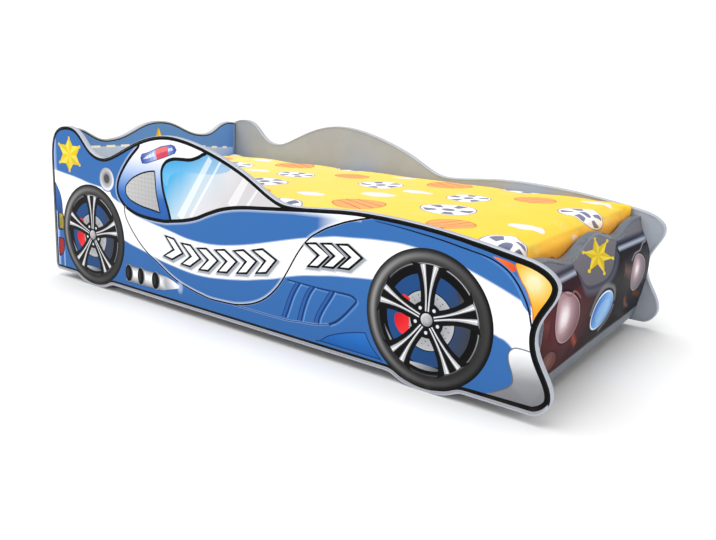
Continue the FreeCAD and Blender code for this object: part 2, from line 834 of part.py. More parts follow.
keep(common("bumper_film", [
    bulge_skin("bumper_film_skin", 0, size("film_thickness")),
    front_plate(
        "bumper_film_front", size("film_top_inset"), shell_side + size("film_side_inset"),
        bottom + size("film_bottom_inset"), foot_front, shell_front + past),
]), "bumper_print")

bumper_screw_length = board + size("screw_bite")
bumper_screw = turned("bumper_screw_pattern", [
    (0, -size("pan_head_height")),
    (size("screw_head_radius") - chamfer, -size("pan_head_height")),
    (size("screw_head_radius"), chamfer - size("pan_head_height")),
    (size("screw_head_radius"), 0),
    (size("screw_radius"), 0),
    (size("screw_radius"), bumper_screw_length - 3 * chamfer),
    (0, bumper_screw_length),
])
keep(group("BumperScrews", bumper_screw, [
    aimed((foot_face, y, z), (1, 0, 0)) for y, z in boss_places]), "bumper_screws")

# ---------------------------------------------------------------- battens on the side boards
head_height = size("screw_head_radius") - size("screw_radius")
rail_screw_length = size("rail_width") + size("screw_bite")
rail_screw = turned("rail_screw_pattern", [
    (0, 0),
    (size("screw_head_radius"), 0),
    (size("screw_radius"), head_height),
    (size("screw_radius"), rail_screw_length - 3 * chamfer),
    (0, rail_screw_length),
])
screw_face = side_inner - size("rail_width")
screw_places = []
for side_name, sign in sides:
    corner_y = "-%s" % side_inner_size if sign < 0 else "%s - Sizes.rail_width" % side_inner_size
    batten = block(
        "batten_" + side_name,
        ("%s + Sizes.rail_end_gap" % head_face_size, corner_y, "%s - Sizes.rail_height" % slat_bottom_size),
        ("%s - 2 * Sizes.rail_end_gap" % inner_length_size, "Sizes.rail_width", "Sizes.rail_height"))
    holes = []
    for number, screw_x in enumerate(rail_screw_stations):
        place = aimed((screw_x, sign * screw_face, rail_screw_height), (0, sign, 0))
        screw_places.append(place)
        sink = doc.addObject("Part::Cone", "countersink_%s_%d" % (side_name, number))
        sink.Radius1 = size("screw_head_radius") + slack
        sink.Radius2 = size("screw_radius") + slack
        sink.Height = head_height
        sink.Placement = place
        way = cutter_rod(
            "screw_way_%s_%d" % (side_name, number), size("screw_radius") + slack,
            size("rail_width") + 2 * past, (screw_x, sign * (screw_face - past), rail_screw_height),
            (0, sign, 0))
        holes += [sink, way]
    keep(cut("batten_bored_" + side_name, batten, holes), "support_rail_" + side_name)
keep(group("RailScrews", rail_screw, screw_places), "rail_screws")


# ---------------------------------------------------------------- the loose slatted base
def rounded_bar(width, height, radius):
    # a bar's section in the XZ plane, centred on X and standing on Z = 0
    half = width / 2
    return [
        line(radius - half, 0, half - radius, 0),
        arc(half - radius, radius, radius, -90, 0),
        line(half, radius, half, height - radius),
        arc(half - radius, height - radius, radius, 0, 90),
        line(half - radius, height, radius - half, height),
        arc(radius - half, height - radius, radius, 90, 180),
        line(-half, height - radius, -half, radius),
        arc(radius - half, radius, radius, 180, 270),
    ]


slat_count = int(size("slat_count"))
first_slat_x = head_face + size("slat_margin") + size("slat_width") / 2
slat_run = inner_length - 2 * size("slat_margin") - size("slat_width")
slat_pitch = slat_run / (slat_count - 1)
first_slat_size = "(%s + Sizes.slat_margin + Sizes.slat_width / 2)" % head_face_size
slat_pitch_size = (
    "((%s - 2 * Sizes.slat_margin - Sizes.slat_width) / (Sizes.slat_count - 1))" % inner_length_size)
ribbon_lines = [(name, sign * (side_inner - size("ribbon_in"))) for name, sign in sides]
leg_offset = (size("staple_crown") - size("staple_wire")) / 2
leg_length = size("ribbon_thickness") + size("staple_depth")


def staple_leg_holes(name, stations, low_z, high_z):
    # square holes for the staples' legs at (x, y) stations
    half = size("staple_wire") / 2 + slack
    holes = []
    for number, (x, y) in enumerate(stations):
        for end, leg_x in (("a", x - leg_offset), ("b", x + leg_offset)):
            holes.append(cutter_box(
                "%s_%d%s" % (name, number, end),
                (leg_x - half, y - half, low_z), (leg_x + half, y + half, high_z)))
    return holes


staple_stations = []
for index in range(slat_count):
    slat_x = first_slat_x + index * slat_pitch
    slat = plate(
        "slat_bar_%02d" % (index + 1), "XZ_Plane",
        rounded_bar(size("slat_width"), size("slat_thickness"), size("slat_round")),
        "2 * (%s - Sizes.slat_end_gap)" % side_inner_size)
    shift(slat, x="%s + %d * %s" % (first_slat_size, index, slat_pitch_size), z=slat_bottom_size)
    stations = [(slat_x, ribbon_y) for side_name, ribbon_y in ribbon_lines]
    staple_stations += stations
    holes = staple_leg_holes(
        "slat_leg_%02d" % (index + 1), stations, slat_bottom - past,
        slat_bottom + size("staple_depth") + spare)
    keep(cut("slat_holed_%02d" % (index + 1), slat, holes), "slat_%02d" % (index + 1))

for side_name, ribbon_y in ribbon_lines:
    middle = "%s(%s - Sizes.ribbon_in)" % ("-" if ribbon_y < 0 else "", side_inner_size)
    tape = block(
        "tape_" + side_name,
        ("%s - Sizes.slat_width / 2 + Sizes.ribbon_margin" % first_slat_size,
         "%s - Sizes.ribbon_width / 2" % middle, "%s - Sizes.ribbon_thickness" % slat_bottom_size),
        ("%s - 2 * Sizes.slat_margin - 2 * Sizes.ribbon_margin" % inner_length_size,
         "Sizes.ribbon_width", "Sizes.ribbon_thickness"))
    stations = [(x, y) for x, y in staple_stations if y == ribbon_y]
    holes = staple_leg_holes("tape_leg_" + side_name, stations, slat_bottom - past, slat_bottom + past)
    keep(cut("tape_holed_" + side_name, tape, holes), "slat_ribbon_" + side_name)

wire = size("staple_wire")
crown_half = size("staple_crown") / 2
staple = join("staple_pattern", [
    cutter_box("staple_bridge", (-crown_half, -wire / 2, -wire), (crown_half, wire / 2, 0)),
    cutter_box("staple_leg_a", (-crown_half, -wire / 2, -wire), (wire - crown_half, wire / 2, leg_length)),
    cutter_box("staple_leg_b", (crown_half - wire, -wire / 2, -wire), (crown_half, wire / 2, leg_length)),
])
staple_z = slat_bottom - size("ribbon_thickness")
keep(group("RibbonStaples", staple, [
    FreeCAD.Placement(Vector(x, y, staple_z), FreeCAD.Rotation()) for x, y in staple_stations
]), "ribbon_staples")


# ---------------------------------------------------------------- the mattress
def mattress_section(half_length, half_width, z):
    # four round corners, and four sides that are drawn in by the waist; all in the plane at z
    radius = size("mattress_corner")
    waist = size("mattress_waist")
    edges = []
    corners = [(1, 1, 0), (-1, 1, 90), (-1, -1, 180), (1, -1, 270)]
    for number, (sx, sy, start) in enumerate(corners):
        centre = Vector(sx * (half_length - radius), sy * (half_width - radius), z)
        points = [centre + heading_vector(start + turn) * radius for turn in (0, 45, 90)]
        edges.append(Part.Arc(*points).toShape())
        next_sx, next_sy, next_start = corners[(number + 1) % 4]
        next_centre = Vector(next_sx * (half_length - radius), next_sy * (half_width - radius), z)
        far = next_centre + heading_vector(next_start) * radius
        middle = (points[2] + far) / 2 - heading_vector(start + 90) * waist
        edges.append(Part.Arc(points[2], middle, far).toShape())
    return Part.Wire(edges)


def mattress_form(inset):
    # lofted from below: a rounded lower edge, upright sides, a rounded upper edge and a low crown
    low = size("base_top") + size("mattress_lift") + inset
    high = size("base_top") + size("mattress_lift") + size("mattress_thickness") - inset
    crown = size("mattress_crown")
    edge = [(10, 0), (4, 3), (1, 8), (0, 14)]
    levels = [(draw_in, low + rise) for draw_in, rise in edge]
    levels += [(draw_in, high - rise) for draw_in, rise in reversed(edge)]
    levels += [(50, high + 0.45 * crown), (130, high + 0.8 * crown), (230, high + crown)]
    middle_x = head_face + size("head_gap") + size("mattress_length") / 2
    wires = []
    for draw_in, z in levels:
        half_length = size("mattress_length") / 2 - inset - draw_in
        half_width = size("mattress_width") / 2 - inset - draw_in
        wires.append(mattress_section(half_length, half_width, z))
    loft = Part.makeLoft(wires, True, True)
    loft.translate(Vector(middle_x, 0, 0))
    return loft


cover_inside = mattress_form(size("cover_padding"))
cover = doc.addObject("Part::Feature", "MattressCover")
cover.Shape = mattress_form(0).cut(cover_inside)
keep(cover, "mattress_cover")
core = doc.addObject("Part::Feature", "MattressCore")
core.Shape = mattress_form(size("cover_padding") + size("core_gap"))
keep(core, "mattress_core")

# ---------------------------------------------------------------- checks and files
doc.recompute()
for obj in doc.Objects:
    if "Invalid" in obj.State or "Error" in obj.State:
        raise RuntimeError("%s did not rebuild: %s" % (obj.Name, obj.State))
os.makedirs("parts", exist_ok=True)
for label, obj in nodes.items():
    shape = obj.Shape
    if shape.isNull() or not shape.isValid() or not shape.Solids:
        raise RuntimeError("%s has no sound shape" % label)
    shape.exportStep(os.path.join("parts", label + ".step"))
    bounds = shape.BoundBox
    print("%-20s %3d solids %12.0f mm3  x %7.1f %7.1f  y %7.1f %7.1f  z %6.1f %6.1f" % (
        label, len(shape.Solids), shape.Volume, bounds.XMin, bounds.XMax, bounds.YMin, bounds.YMax,
        bounds.ZMin, bounds.ZMax))
print(len(nodes), "nodes")
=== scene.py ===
import bmesh
import bpy
import math
import numpy as np
from mathutils import Matrix, Vector
from mathutils.bvhtree import BVHTree
from mathutils.geometry import delaunay_2d_cdt


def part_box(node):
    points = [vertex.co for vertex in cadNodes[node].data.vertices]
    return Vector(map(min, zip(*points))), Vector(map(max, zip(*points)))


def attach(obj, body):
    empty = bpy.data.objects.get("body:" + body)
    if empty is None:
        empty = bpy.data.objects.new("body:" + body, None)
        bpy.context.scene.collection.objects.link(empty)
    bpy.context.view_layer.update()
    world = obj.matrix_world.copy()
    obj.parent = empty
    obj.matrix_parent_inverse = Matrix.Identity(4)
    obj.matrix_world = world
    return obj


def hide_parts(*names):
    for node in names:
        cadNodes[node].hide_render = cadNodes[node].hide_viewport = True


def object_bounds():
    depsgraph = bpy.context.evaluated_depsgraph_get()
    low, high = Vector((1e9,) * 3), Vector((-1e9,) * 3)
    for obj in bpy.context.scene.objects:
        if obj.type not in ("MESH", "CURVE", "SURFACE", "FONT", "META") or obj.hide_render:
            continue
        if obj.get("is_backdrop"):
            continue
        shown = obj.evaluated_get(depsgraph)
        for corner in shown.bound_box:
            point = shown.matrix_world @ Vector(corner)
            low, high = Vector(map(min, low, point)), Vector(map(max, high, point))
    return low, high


# A child's bed shaped like a car, dressed over its frame. Lengths of the drawn art are in
# millimetres: x from under the rear wheel towards the nose, z from where the wheels stand.
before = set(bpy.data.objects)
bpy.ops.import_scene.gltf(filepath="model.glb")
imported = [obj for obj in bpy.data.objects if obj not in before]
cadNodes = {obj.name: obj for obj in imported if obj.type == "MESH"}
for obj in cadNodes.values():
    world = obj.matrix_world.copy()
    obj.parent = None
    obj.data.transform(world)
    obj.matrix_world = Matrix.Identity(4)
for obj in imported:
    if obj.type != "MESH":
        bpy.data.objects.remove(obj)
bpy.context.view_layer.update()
scene = bpy.context.scene
scene.view_settings.view_transform = "Standard"
print("frame loaded:", len(cadNodes), "nodes")

# camera, light and floor
cameraView = {
    "place": (1.3951, -1.8270, 0.7117),
    "azimuth": 36.63,
    "down": 11.61,
    "roll": 1.93,
    "focalPixels": 736.8,
    "picture": (716, 540),
    "centre": (344.22, 227.89),
}


def placeCamera(view):
    azimuth = math.radians(view["azimuth"])
    down = math.radians(view["down"])
    roll = math.radians(view["roll"])
    forward = Vector((-math.sin(azimuth) * math.cos(down), math.cos(azimuth) * math.cos(down),
                      -math.sin(down)))
    right = Vector((math.cos(azimuth), math.sin(azimuth), 0))
    up = right.cross(forward)
    across = right * math.cos(roll) + up * math.sin(roll)
    above = up * math.cos(roll) - right * math.sin(roll)
    wide, high = view["picture"]
    data = bpy.data.cameras.new("camera")
    data.sensor_width = 36
    data.lens = view["focalPixels"] * 36 / wide
    data.shift_x = (wide / 2 - view["centre"][0]) / wide
    data.shift_y = (view["centre"][1] - high / 2) / wide
    camera = bpy.data.objects.new("camera", data)
    turn = Matrix((across, above, -forward)).transposed()
    camera.matrix_world = Matrix.Translation(view["place"]) @ turn.to_4x4()
    scene.collection.objects.link(camera)
    scene.camera = camera


def sunLight(name, way, power, spread):
    data = bpy.data.lights.new(name, "SUN")
    data.energy = power
    data.angle = math.radians(spread)
    lamp = bpy.data.objects.new(name, data)
    lamp.rotation_euler = Vector(way).to_track_quat("-Z", "Y").to_euler()
    scene.collection.objects.link(lamp)


def studioWorld(seen, sky, shine):
    # a white room; glossy surfaces see it darker, so that print keeps its blacks
    world = bpy.data.worlds.new("studio")
    world.use_nodes = True
    tree = world.node_tree
    tree.nodes.clear()
    rays = tree.nodes.new("ShaderNodeLightPath")
    out = tree.nodes.new("ShaderNodeOutputWorld")
    result = None
    for label, strength in (("", sky), ("Is Glossy Ray", shine), ("Is Camera Ray", seen)):
        room = tree.nodes.new("ShaderNodeBackground")
        room.inputs["Color"].default_value = (1, 1, 1, 1)
        room.inputs["Strength"].default_value = strength
        if not label:
            result = room.outputs[0]
            continue
        either = tree.nodes.new("ShaderNodeMixShader")
        tree.links.new(rays.outputs[label], either.inputs["Fac"])
        tree.links.new(result, either.inputs[1])
        tree.links.new(room.outputs[0], either.inputs[2])
        result = either.outputs[0]
    tree.links.new(result, out.inputs["Surface"])
    scene.world = world


placeCamera(cameraView)
studioWorld(seen=1.0, sky=0.43, shine=0.26)
sunLight("topLight", way=(0.24, 0.10, -0.96), power=3.0, spread=70)
sunLight("sideLight", way=(0.12, 0.95, -0.22), power=0.78, spread=30)
sunLight("footLight", way=(-0.92, -0.05, -0.30), power=0.72, spread=40)


# small helpers for shapes
tiny = 1e-9      # keeps a division by nothing from failing


def join(*parts):
    return np.concatenate([np.array(part, float) for part in parts])


def linear(code):
    # "#RRGGBB" as scene-linear numbers
    parts = np.array([int(code[i:i + 2], 16) for i in (1, 3, 5)]) / 255
    return np.where(parts <= 0.04045, parts / 12.92, ((parts + 0.055) / 1.055) ** 2.4)


def tone(code):
    return (*linear(code), 1)


def linkMesh(name, verts, faces, smooth=False):
    mesh = bpy.data.meshes.new(name)
    mesh.from_pydata([tuple(v) for v in verts], [], [tuple(f) for f in faces])
    mesh.update()
    mesh.shade_smooth() if smooth else mesh.shade_flat()
    piece = bpy.data.objects.new(name, mesh)
    scene.collection.objects.link(piece)
    return piece


def smoothLine(points, step=5.0, closed=False):
    # a Catmull-Rom curve through the points
    pts = np.array(points, float)
    count = len(pts)
    line = []
    for i in range(count if closed else count - 1):
        p1 = pts[i]
        p2 = pts[(i + 1) % count]
        p0 = pts[i - 1] if closed or i else 2 * p1 - p2
        p3 = pts[(i + 2) % count] if closed or i + 2 < count else 2 * p2 - p1
        pieces = max(1, int(round(np.linalg.norm(p2 - p1) / step)))
        for k in range(pieces):
            t = k / pieces
            line.append(0.5 * (2 * p1 + (p2 - p0) * t + (2 * p0 - 5 * p1 + 4 * p2 - p3) * t * t
                               + (3 * p1 - p0 - 3 * p2 + p3) * t ** 3))
    if not closed:
        line.append(pts[-1])
    return np.array(line)


def along(line, closed=False):
    # unit normals to the left of a line
    ahead = np.roll(line, -1, 0)
    behind = np.roll(line, 1, 0)
    if not closed:
        ahead[-1] = line[-1]
        behind[0] = line[0]
    way = ahead - behind
    way /= np.maximum(np.linalg.norm(way, axis=1, keepdims=True), tiny)
    return np.stack([-way[:, 1], way[:, 0]], 1)


def stroke(line, *widths, offset=0.0):
    # the outline of a line drawn with a pen; several widths are spread along it
    line = np.array(line, float)
    side = along(line)
    places = np.linspace(0, len(widths) - 1, len(line))
    widths = np.interp(places, np.arange(len(widths)), widths)[:, None] / 2
    left = line + side * (widths + offset)
    right = line - side * (widths - offset)
    return join(left, right[::-1])


def windingOf(loop):
    # 1 where an outline runs anticlockwise, else -1
    ahead = np.roll(loop, -1, 0)
    return math.copysign(1, np.sum(loop[:, 0] * ahead[:, 1] - ahead[:, 0] * loop[:, 1]))


def grown(loop, amount, sharpest=0.45):
    # an outline of straight runs moved out by an even amount
    way = np.roll(loop, -1, 0) - loop
    way = way / np.linalg.norm(way, axis=1, keepdims=True)
    out = np.stack([-way[:, 1], way[:, 0]], 1)
    both = out + np.roll(out, 1, 0)
    both = both / np.maximum(np.linalg.norm(both, axis=1, keepdims=True), tiny)
    stretch = np.maximum(np.sum(both * out, axis=1, keepdims=True), sharpest)
    return loop - windingOf(loop) * amount * both / stretch


def ellipse(x, z, rx, rz=None, turn=0.0, count=None):
    rz = rx if rz is None else rz
    count = count or max(16, int(2 * math.pi * max(rx, rz) / 4))
    a = np.arange(count) * 2 * math.pi / count
    c, s = math.cos(turn), math.sin(turn)
    px = rx * np.cos(a)
    pz = rz * np.sin(a)
    return np.stack([x + px * c - pz * s, z + px * s + pz * c], 1)


def star(x, z, outer, inner, tips=6, squash=1.0, turn=math.pi / 2):
    a = turn + np.arange(2 * tips) * math.pi / tips
    r = np.where(np.arange(2 * tips) % 2 == 0, outer, inner)
    return np.stack([x + r * np.cos(a), z + squash * r * np.sin(a)], 1)


def within(loop, points):
    # which points are inside a closed outline, by its winding
    a = loop
    b = np.roll(loop, -1, 0)
    low = loop.min(0)
    high = loop.max(0)
    near = np.flatnonzero(np.all((points >= low) & (points <= high), axis=1))
    turns = np.zeros(len(near))
    p = points[near]
    for i in range(len(a)):
        cross = ((b[i, 0] - a[i, 0]) * (p[:, 1] - a[i, 1])
                 - (p[:, 0] - a[i, 0]) * (b[i, 1] - a[i, 1]))
        turns += (a[i, 1] <= p[:, 1]) & (b[i, 1] > p[:, 1]) & (cross > 0)
        turns -= (a[i, 1] > p[:, 1]) & (b[i, 1] <= p[:, 1]) & (cross < 0)
    found = np.zeros(len(points), bool)
    found[near] = turns != 0
    return found


def distance(line, points):
    # how far each point is from a line of short runs
    best = np.full(len(points), 1e9)
    for a, b in zip(line[:-1], line[1:]):
        run = b - a
        t = np.clip(((points - a) @ run) / max(run @ run, tiny), 0, 1)
        best = np.minimum(best, np.linalg.norm(points - a - t[:, None] * run, axis=1))
    return best


def ramp(points, start, end, *codes):
    # colours that change evenly from start to end, two places in the art
    way = np.array(end, float) - np.array(start, float)
    t = np.clip((points - np.array(start)) @ way / (way @ way), 0, 1) * (len(codes) - 1)
    stops = np.array([linear(c) for c in codes])
    low = np.minimum(t.astype(int), len(codes) - 2)
    part = (t - low)[:, None]
    return stops[low] * (1 - part) + stops[low + 1] * part


def fromTo(start, end, *codes):
    return lambda points: ramp(points, start, end, *codes)


def outwards(x, z, radius, *codes):
    # colours that change from a centre outwards
    def paint(points):
        far = np.hypot(points[:, 0] - x, points[:, 1] - z) / radius
        return ramp(np.stack([far, far * 0], 1), (0, 0), (1, 0), *codes)
    return paint


def fading(line, reach, strength=1.0):
    # how strongly a soft glow covers, from full on its line to none at its reach
    return lambda points: strength * np.clip(1 - distance(line, points) / reach, 0, 1)


# a printed sheet: art laid in layers over one flat outline
class Artwork:
    def __init__(self, outline, ground):
        self.outline = np.array(outline, float)
        self.layers = []
        self.guides = []
        self.ground = ground

    def lay(self, loop, colour, cover=1.0, outside=False, inside=None):
        self.layers.append((np.array(loop, float), colour, cover, outside, inside))

    def glow(self, line, reach, colour, strength=1.0):
        self.lay(stroke(line, 2 * reach), colour, fading(line, reach, strength))
        self.guides.append(line)

    def mesh(self, epsilon=0.03, smallest=1e-7):
        # one net of triangles that holds every edge of the art, and a colour for each corner
        points = []
        edges = []
        rows = [(line, True) for line in [self.outline] + [layer[0] for layer in self.layers]]
        rows += [(np.array(line, float), False) for line in self.guides]
        for line, closed in rows:
            first = len(points)
            points += [Vector(p) for p in line]
            last = first + len(line) - 1
            edges += [(i, i + 1) for i in range(first, last)]
            if closed:
                edges.append((last, first))
        net = delaunay_2d_cdt(points, edges, [], 0, epsilon, False)
        flat = np.array([tuple(v) for v in net[0]])
        tris = np.array([f for f in net[2] if len(f) == 3])
        middle = flat[tris].mean(1)
        tris = tris[within(self.outline, middle)]
        a, b, c = flat[tris[:, 0]], flat[tris[:, 1]], flat[tris[:, 2]]
        (ux, uz), (vx, vz) = (b - a).T, (c - a).T
        area = ux * vz - vx * uz
        tris[area < 0] = tris[area < 0][:, ::-1]
        tris = tris[np.abs(area) > smallest]
        middle = flat[tris].mean(1)
        corners = flat[tris].reshape(-1, 2)
        ink = self.colours(self.ground, corners)
        for loop, colour, cover, outside, inside in self.layers:
            hit = within(loop, middle)
            if outside:
                hit = ~hit
            if inside is not None:
                hit = hit & within(inside, middle)
            rows = np.repeat(hit, 3)
            if not rows.any():
                continue
            at = corners[rows]
            part = cover(at)[:, None] if callable(cover) else cover
            ink[rows] = ink[rows] * (1 - part) + self.colours(colour, at) * part
        return flat, tris, ink

    @staticmethod
    def colours(colour, points):
        if callable(colour):
            return colour(points)
        return np.tile(linear(colour), (len(points), 1))


def nodeOutline(node, way, plane):
    # the loop round the face of a CAD sheet that looks along way; plane picks its two flat axes
    copy = bmesh.new()
    copy.from_mesh(cadNodes[node].data)
    bmesh.ops.remove_doubles(copy, verts=copy.verts, dist=1e-6)
    way = Vector(way)
    faces = {f for f in copy.faces if f.normal.dot(way) > 0.3}
    rim = [e for e in copy.edges if sum(f in faces for f in e.link_faces) == 1]
    nextTo = {}
    for edge in rim:
        a, b = edge.verts
        nextTo.setdefault(a, []).append(b)
        nextTo.setdefault(b, []).append(a)
    start = max(nextTo, key=lambda v: v.co[plane[0]])
    loop = [start]
    before = None
    here = start
    while True:
        step = [v for v in nextTo[here] if v is not before]
        before, here = here, step[0]
        if here is start:
            break
        loop.append(here)
    outline = np.array([[v.co[plane[0]] * 1000, v.co[plane[1]] * 1000] for v in loop])
    copy.free()
    return outline


filmLook = {
    "back": "#E9EAEC",        # the plain back and the cut edge
    "foldAngle": 35,          # of the bumper's film, past which an edge stays sharp
}


def inkTheFilm(mesh, ink, look):
    layer = mesh.color_attributes.new("inkColour", "FLOAT_COLOR", "CORNER")
    values = np.ones((len(mesh.loops), 4), np.float32)
    values[:, :3] = linear(look["back"])
    values[:len(ink), :3] = ink
    layer.data.foreach_set("color", values.ravel())


def rimOf(tris):
    # the points round the edge of a net of triangles, in order
    runs = {}
    for a, b, c in tris:
        for edge in ((a, b), (b, c), (c, a)):
            runs[edge] = True
    after = {a: b for a, b in runs if (b, a) not in runs}
    loop = [next(iter(after))]
    while after[loop[-1]] != loop[0]:
        loop.append(after[loop[-1]])
    return loop


def printedSheet(name, art, front, back, material, node, flip=False, curved=False):
    # the art as a thin closed film: its printed front, its edge all round and a plain back,
    # which is a single face, or where the film is curved the same net as the front
    flat, tris, ink = art.mesh()
    used = np.unique(tris)
    order = np.full(len(flat), -1)
    order[used] = np.arange(len(used))
    flat = flat[used]
    tris = order[tris]
    if flip:
        tris = tris[:, ::-1]
        ink = ink.reshape(-1, 3, 3)[:, ::-1].reshape(-1, 3)
    rim = rimOf(tris)
    behind = range(len(flat)) if curved else rim
    twin = {i: len(flat) + k for k, i in enumerate(behind)}
    faces = [tuple(t) for t in tris]
    faces += [(b, a, twin[a], twin[b]) for a, b in zip(rim, rim[1:] + rim[:1])]
    faces += [tuple(twin[i] for i in t[::-1]) for t in (tris if curved else [rim])]
    verts = [front(p) for p in flat] + [back(flat[i]) for i in behind]
    piece = linkMesh(name, verts, faces, curved)
    inkTheFilm(piece.data, ink, filmLook)
    if curved:
        piece.data.set_sharp_from_angle(angle=math.radians(filmLook["foldAngle"]))
    piece.data.materials.append(material)
    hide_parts(node)
    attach(piece, "bed_frame")
    print(name, len(tris), "triangles of art")


# shader groups that several finishes share
def addNode(tree, kind, ins=None, **settings):
    # a node with its settings; each input gets a value, or the socket it is linked from
    node = tree.nodes.new(kind)
    for label, value in settings.items():
        setattr(node, label, value)
    for label, value in (ins or {}).items():
        if isinstance(value, bpy.types.NodeSocket):
            tree.links.new(value, node.inputs[label])
        else:
            node.inputs[label].default_value = tone(value) if isinstance(value, str) else value
    return node


def socketKind(value):
    if isinstance(value, tuple):
        return "NodeSocketColor" if len(value) == 4 else "NodeSocketVector"
    return "NodeSocketInt" if isinstance(value, int) else "NodeSocketFloat"


def newGroup(name, takes, gives):
    # takes are the inputs' names and first values, gives the outputs' names
    group = bpy.data.node_groups.new(name, "ShaderNodeTree")
    for label, value in takes.items():
        socket = group.interface.new_socket(label, in_out="INPUT", socket_type=socketKind(value))
        socket.default_value = value
    for label in gives:
        kind = "NodeSocketColor" if label == "Colour" else "NodeSocketFloat"
        group.interface.new_socket(label, in_out="OUTPUT", socket_type=kind)
    return group, group.nodes.new("NodeGroupInput").outputs, group.nodes.new("NodeGroupOutput").inputs


def noiseAt(tree, place, scale, detail=3.0, rough=0.55, bend=0.0):
    ins = {"Vector": place, "Scale": scale, "Detail": detail, "Roughness": rough, "Distortion": bend}
    return addNode(tree, "ShaderNodeTexNoise", ins).outputs["Fac"]


def axesOf(tree, place):
    return addNode(tree, "ShaderNodeSeparateXYZ", {0: place}).outputs


def mathNode(tree, what, a, b=0.5, clamp=False):
    return addNode(tree, "ShaderNodeMath", {0: a, 1: b}, operation=what, use_clamp=clamp).outputs[0]


def times(tree, a, b):
    return mathNode(tree, "MULTIPLY", a, b)


def offBy(tree, value, level):
    # how far a value is from a level
    return mathNode(tree, "ABSOLUTE", mathNode(tree, "SUBTRACT", value, level))


def mixColour(tree, factor, a, b, blend="MIX"):
    ins = {0: factor, 6: a, 7: b}
    return addNode(tree, "ShaderNodeMix", ins, data_type="RGBA", blend_type=blend).outputs[2]


def rangeNode(tree, value, low, high, toLow=0.0, toHigh=1.0):
    ins = {"Value": value, "From Min": low, "From Max": high, "To Min": toLow, "To Max": toHigh}
    return addNode(tree, "ShaderNodeMapRange", ins).outputs["Result"]


def makeMouldedGroup():
    # the faint orange peel and handling marks of moulded or rolled plastic
    takes = {"Place": (0, 0, 0), "Peel Scale": 900.0, "Mark Scale": 14.0}
    group, takes, gives = newGroup("mouldedSurface", takes, ["Height", "Marks"])
    marks = noiseAt(group, takes["Place"], takes["Mark Scale"], 5, 0.6)
    group.links.new(noiseAt(group, takes["Place"], takes["Peel Scale"], 2), gives["Height"])
    group.links.new(rangeNode(group, marks, 0.35, 0.7), gives["Marks"])
    return group


def makeDustGroup():
    # dust and scuffs that gather near the floor
    group, takes, gives = newGroup("floorDust", {"Place": (0, 0, 0), "Reach": 0.1}, ["Mask"])
    low = mathNode(group, "DIVIDE", axesOf(group, takes["Place"])["Z"], takes["Reach"])
    near = mathNode(group, "SUBTRACT", 1.0, low, clamp=True)
    patchy = rangeNode(group, noiseAt(group, takes["Place"], 22, 6, 0.65), 0.4, 0.75)
    group.links.new(mathNode(group, "MULTIPLY", near, patchy, clamp=True), gives["Mask"])
    return group


def makeGrainGroup():
    # wood: growth lines stretched along the board, fine pores and slow colour drift
    takes = {"Place": (0, 0, 0), "Stretch": (1, 1, 1), "Line Scale": 60.0, "Early": (0.8, 0.6, 0.4, 1),
             "Late": (0.6, 0.4, 0.2, 1)}
    group, takes, gives = newGroup("woodGrain", takes, ["Colour", "Height", "Pores"])
    ins = {0: takes["Place"], 1: takes["Stretch"]}
    place = addNode(group, "ShaderNodeVectorMath", ins, operation="MULTIPLY").outputs[0]
    bands = rangeNode(group, noiseAt(group, place, takes["Line Scale"], 4, 0.5, bend=1.4), 0.36, 0.64)
    pits = rangeNode(group, noiseAt(group, place, 420, 2, 0.7), 0.60, 0.72)
    woody = mixColour(group, bands, takes["Early"], takes["Late"])
    darker = mixColour(group, 1.0, woody, (0.72, 0.62, 0.5, 1), "MULTIPLY")
    group.links.new(mixColour(group, times(group, pits, 0.6), woody, darker), gives["Colour"])
    group.links.new(mathNode(group, "ADD", bands, times(group, pits, -0.7)), gives["Height"])
    group.links.new(pits, gives["Pores"])
    return group


def makeWeaveGroup():
    # over-and-under threads, for cloth and webbing, from a flat place in metres
    sockets = {"Place": (0, 0, 0), "Threads": 1500.0}
    group, takes, gives = newGroup("threadWeave", sockets, ["Height", "Fuzz"])
    axes = axesOf(group, takes["Place"])
    waves = [mathNode(group, "SINE", times(group, axes[way], takes["Threads"])) for way in "XY"]
    group.links.new(rangeNode(group, times(group, *waves), -1, 1), gives["Height"])
    group.links.new(noiseAt(group, takes["Place"], 300, 4, 0.7), gives["Fuzz"])
    return group


moulded = makeMouldedGroup()
floorDust = makeDustGroup()
woodGrain = makeGrainGroup()
threadWeave = makeWeaveGroup()


class Finish:
    # a material with its Principled shader, its place in the object and a few shortcuts
    def __init__(self, name, roughness=0.5, shine=0.3):
        self.material = bpy.data.materials.new(name)
        self.material.use_nodes = True
        self.tree = self.material.node_tree
        self.shader = self.tree.nodes["Principled BSDF"]
        self.shader.inputs["Roughness"].default_value = roughness
        self.shader.inputs["Specular IOR Level"].default_value = shine
        self.place = self.tree.nodes.new("ShaderNodeTexCoord").outputs["Object"]

    def group(self, group, place=None, **values):
        ins = {label.replace("_", " "): value for label, value in values.items()}
        ins["Place"] = self.place if place is None else place
        return addNode(self.tree, "ShaderNodeGroup", ins, node_tree=group).outputs

    def mix(self, factor, a, b, blend="MIX"):
        return mixColour(self.tree, factor, a, b, blend)

    def times(self, a, b):
        return times(self.tree, a, b)

    def range(self, value, *limits):
        return rangeNode(self.tree, value, *limits)

    def colour(self, value):
        self.tree.links.new(value, self.shader.inputs["Base Color"])

    def roughness(self, value, low, high):
        self.tree.links.new(self.range(value, 0, 1, low, high), self.shader.inputs["Roughness"])

    def bump(self, height, distance, strength=0.5):
        ins = {"Distance": distance, "Strength": strength, "Height": height}
        bump = addNode(self.tree, "ShaderNodeBump", ins)
        self.tree.links.new(bump.outputs["Normal"], self.shader.inputs["Normal"])


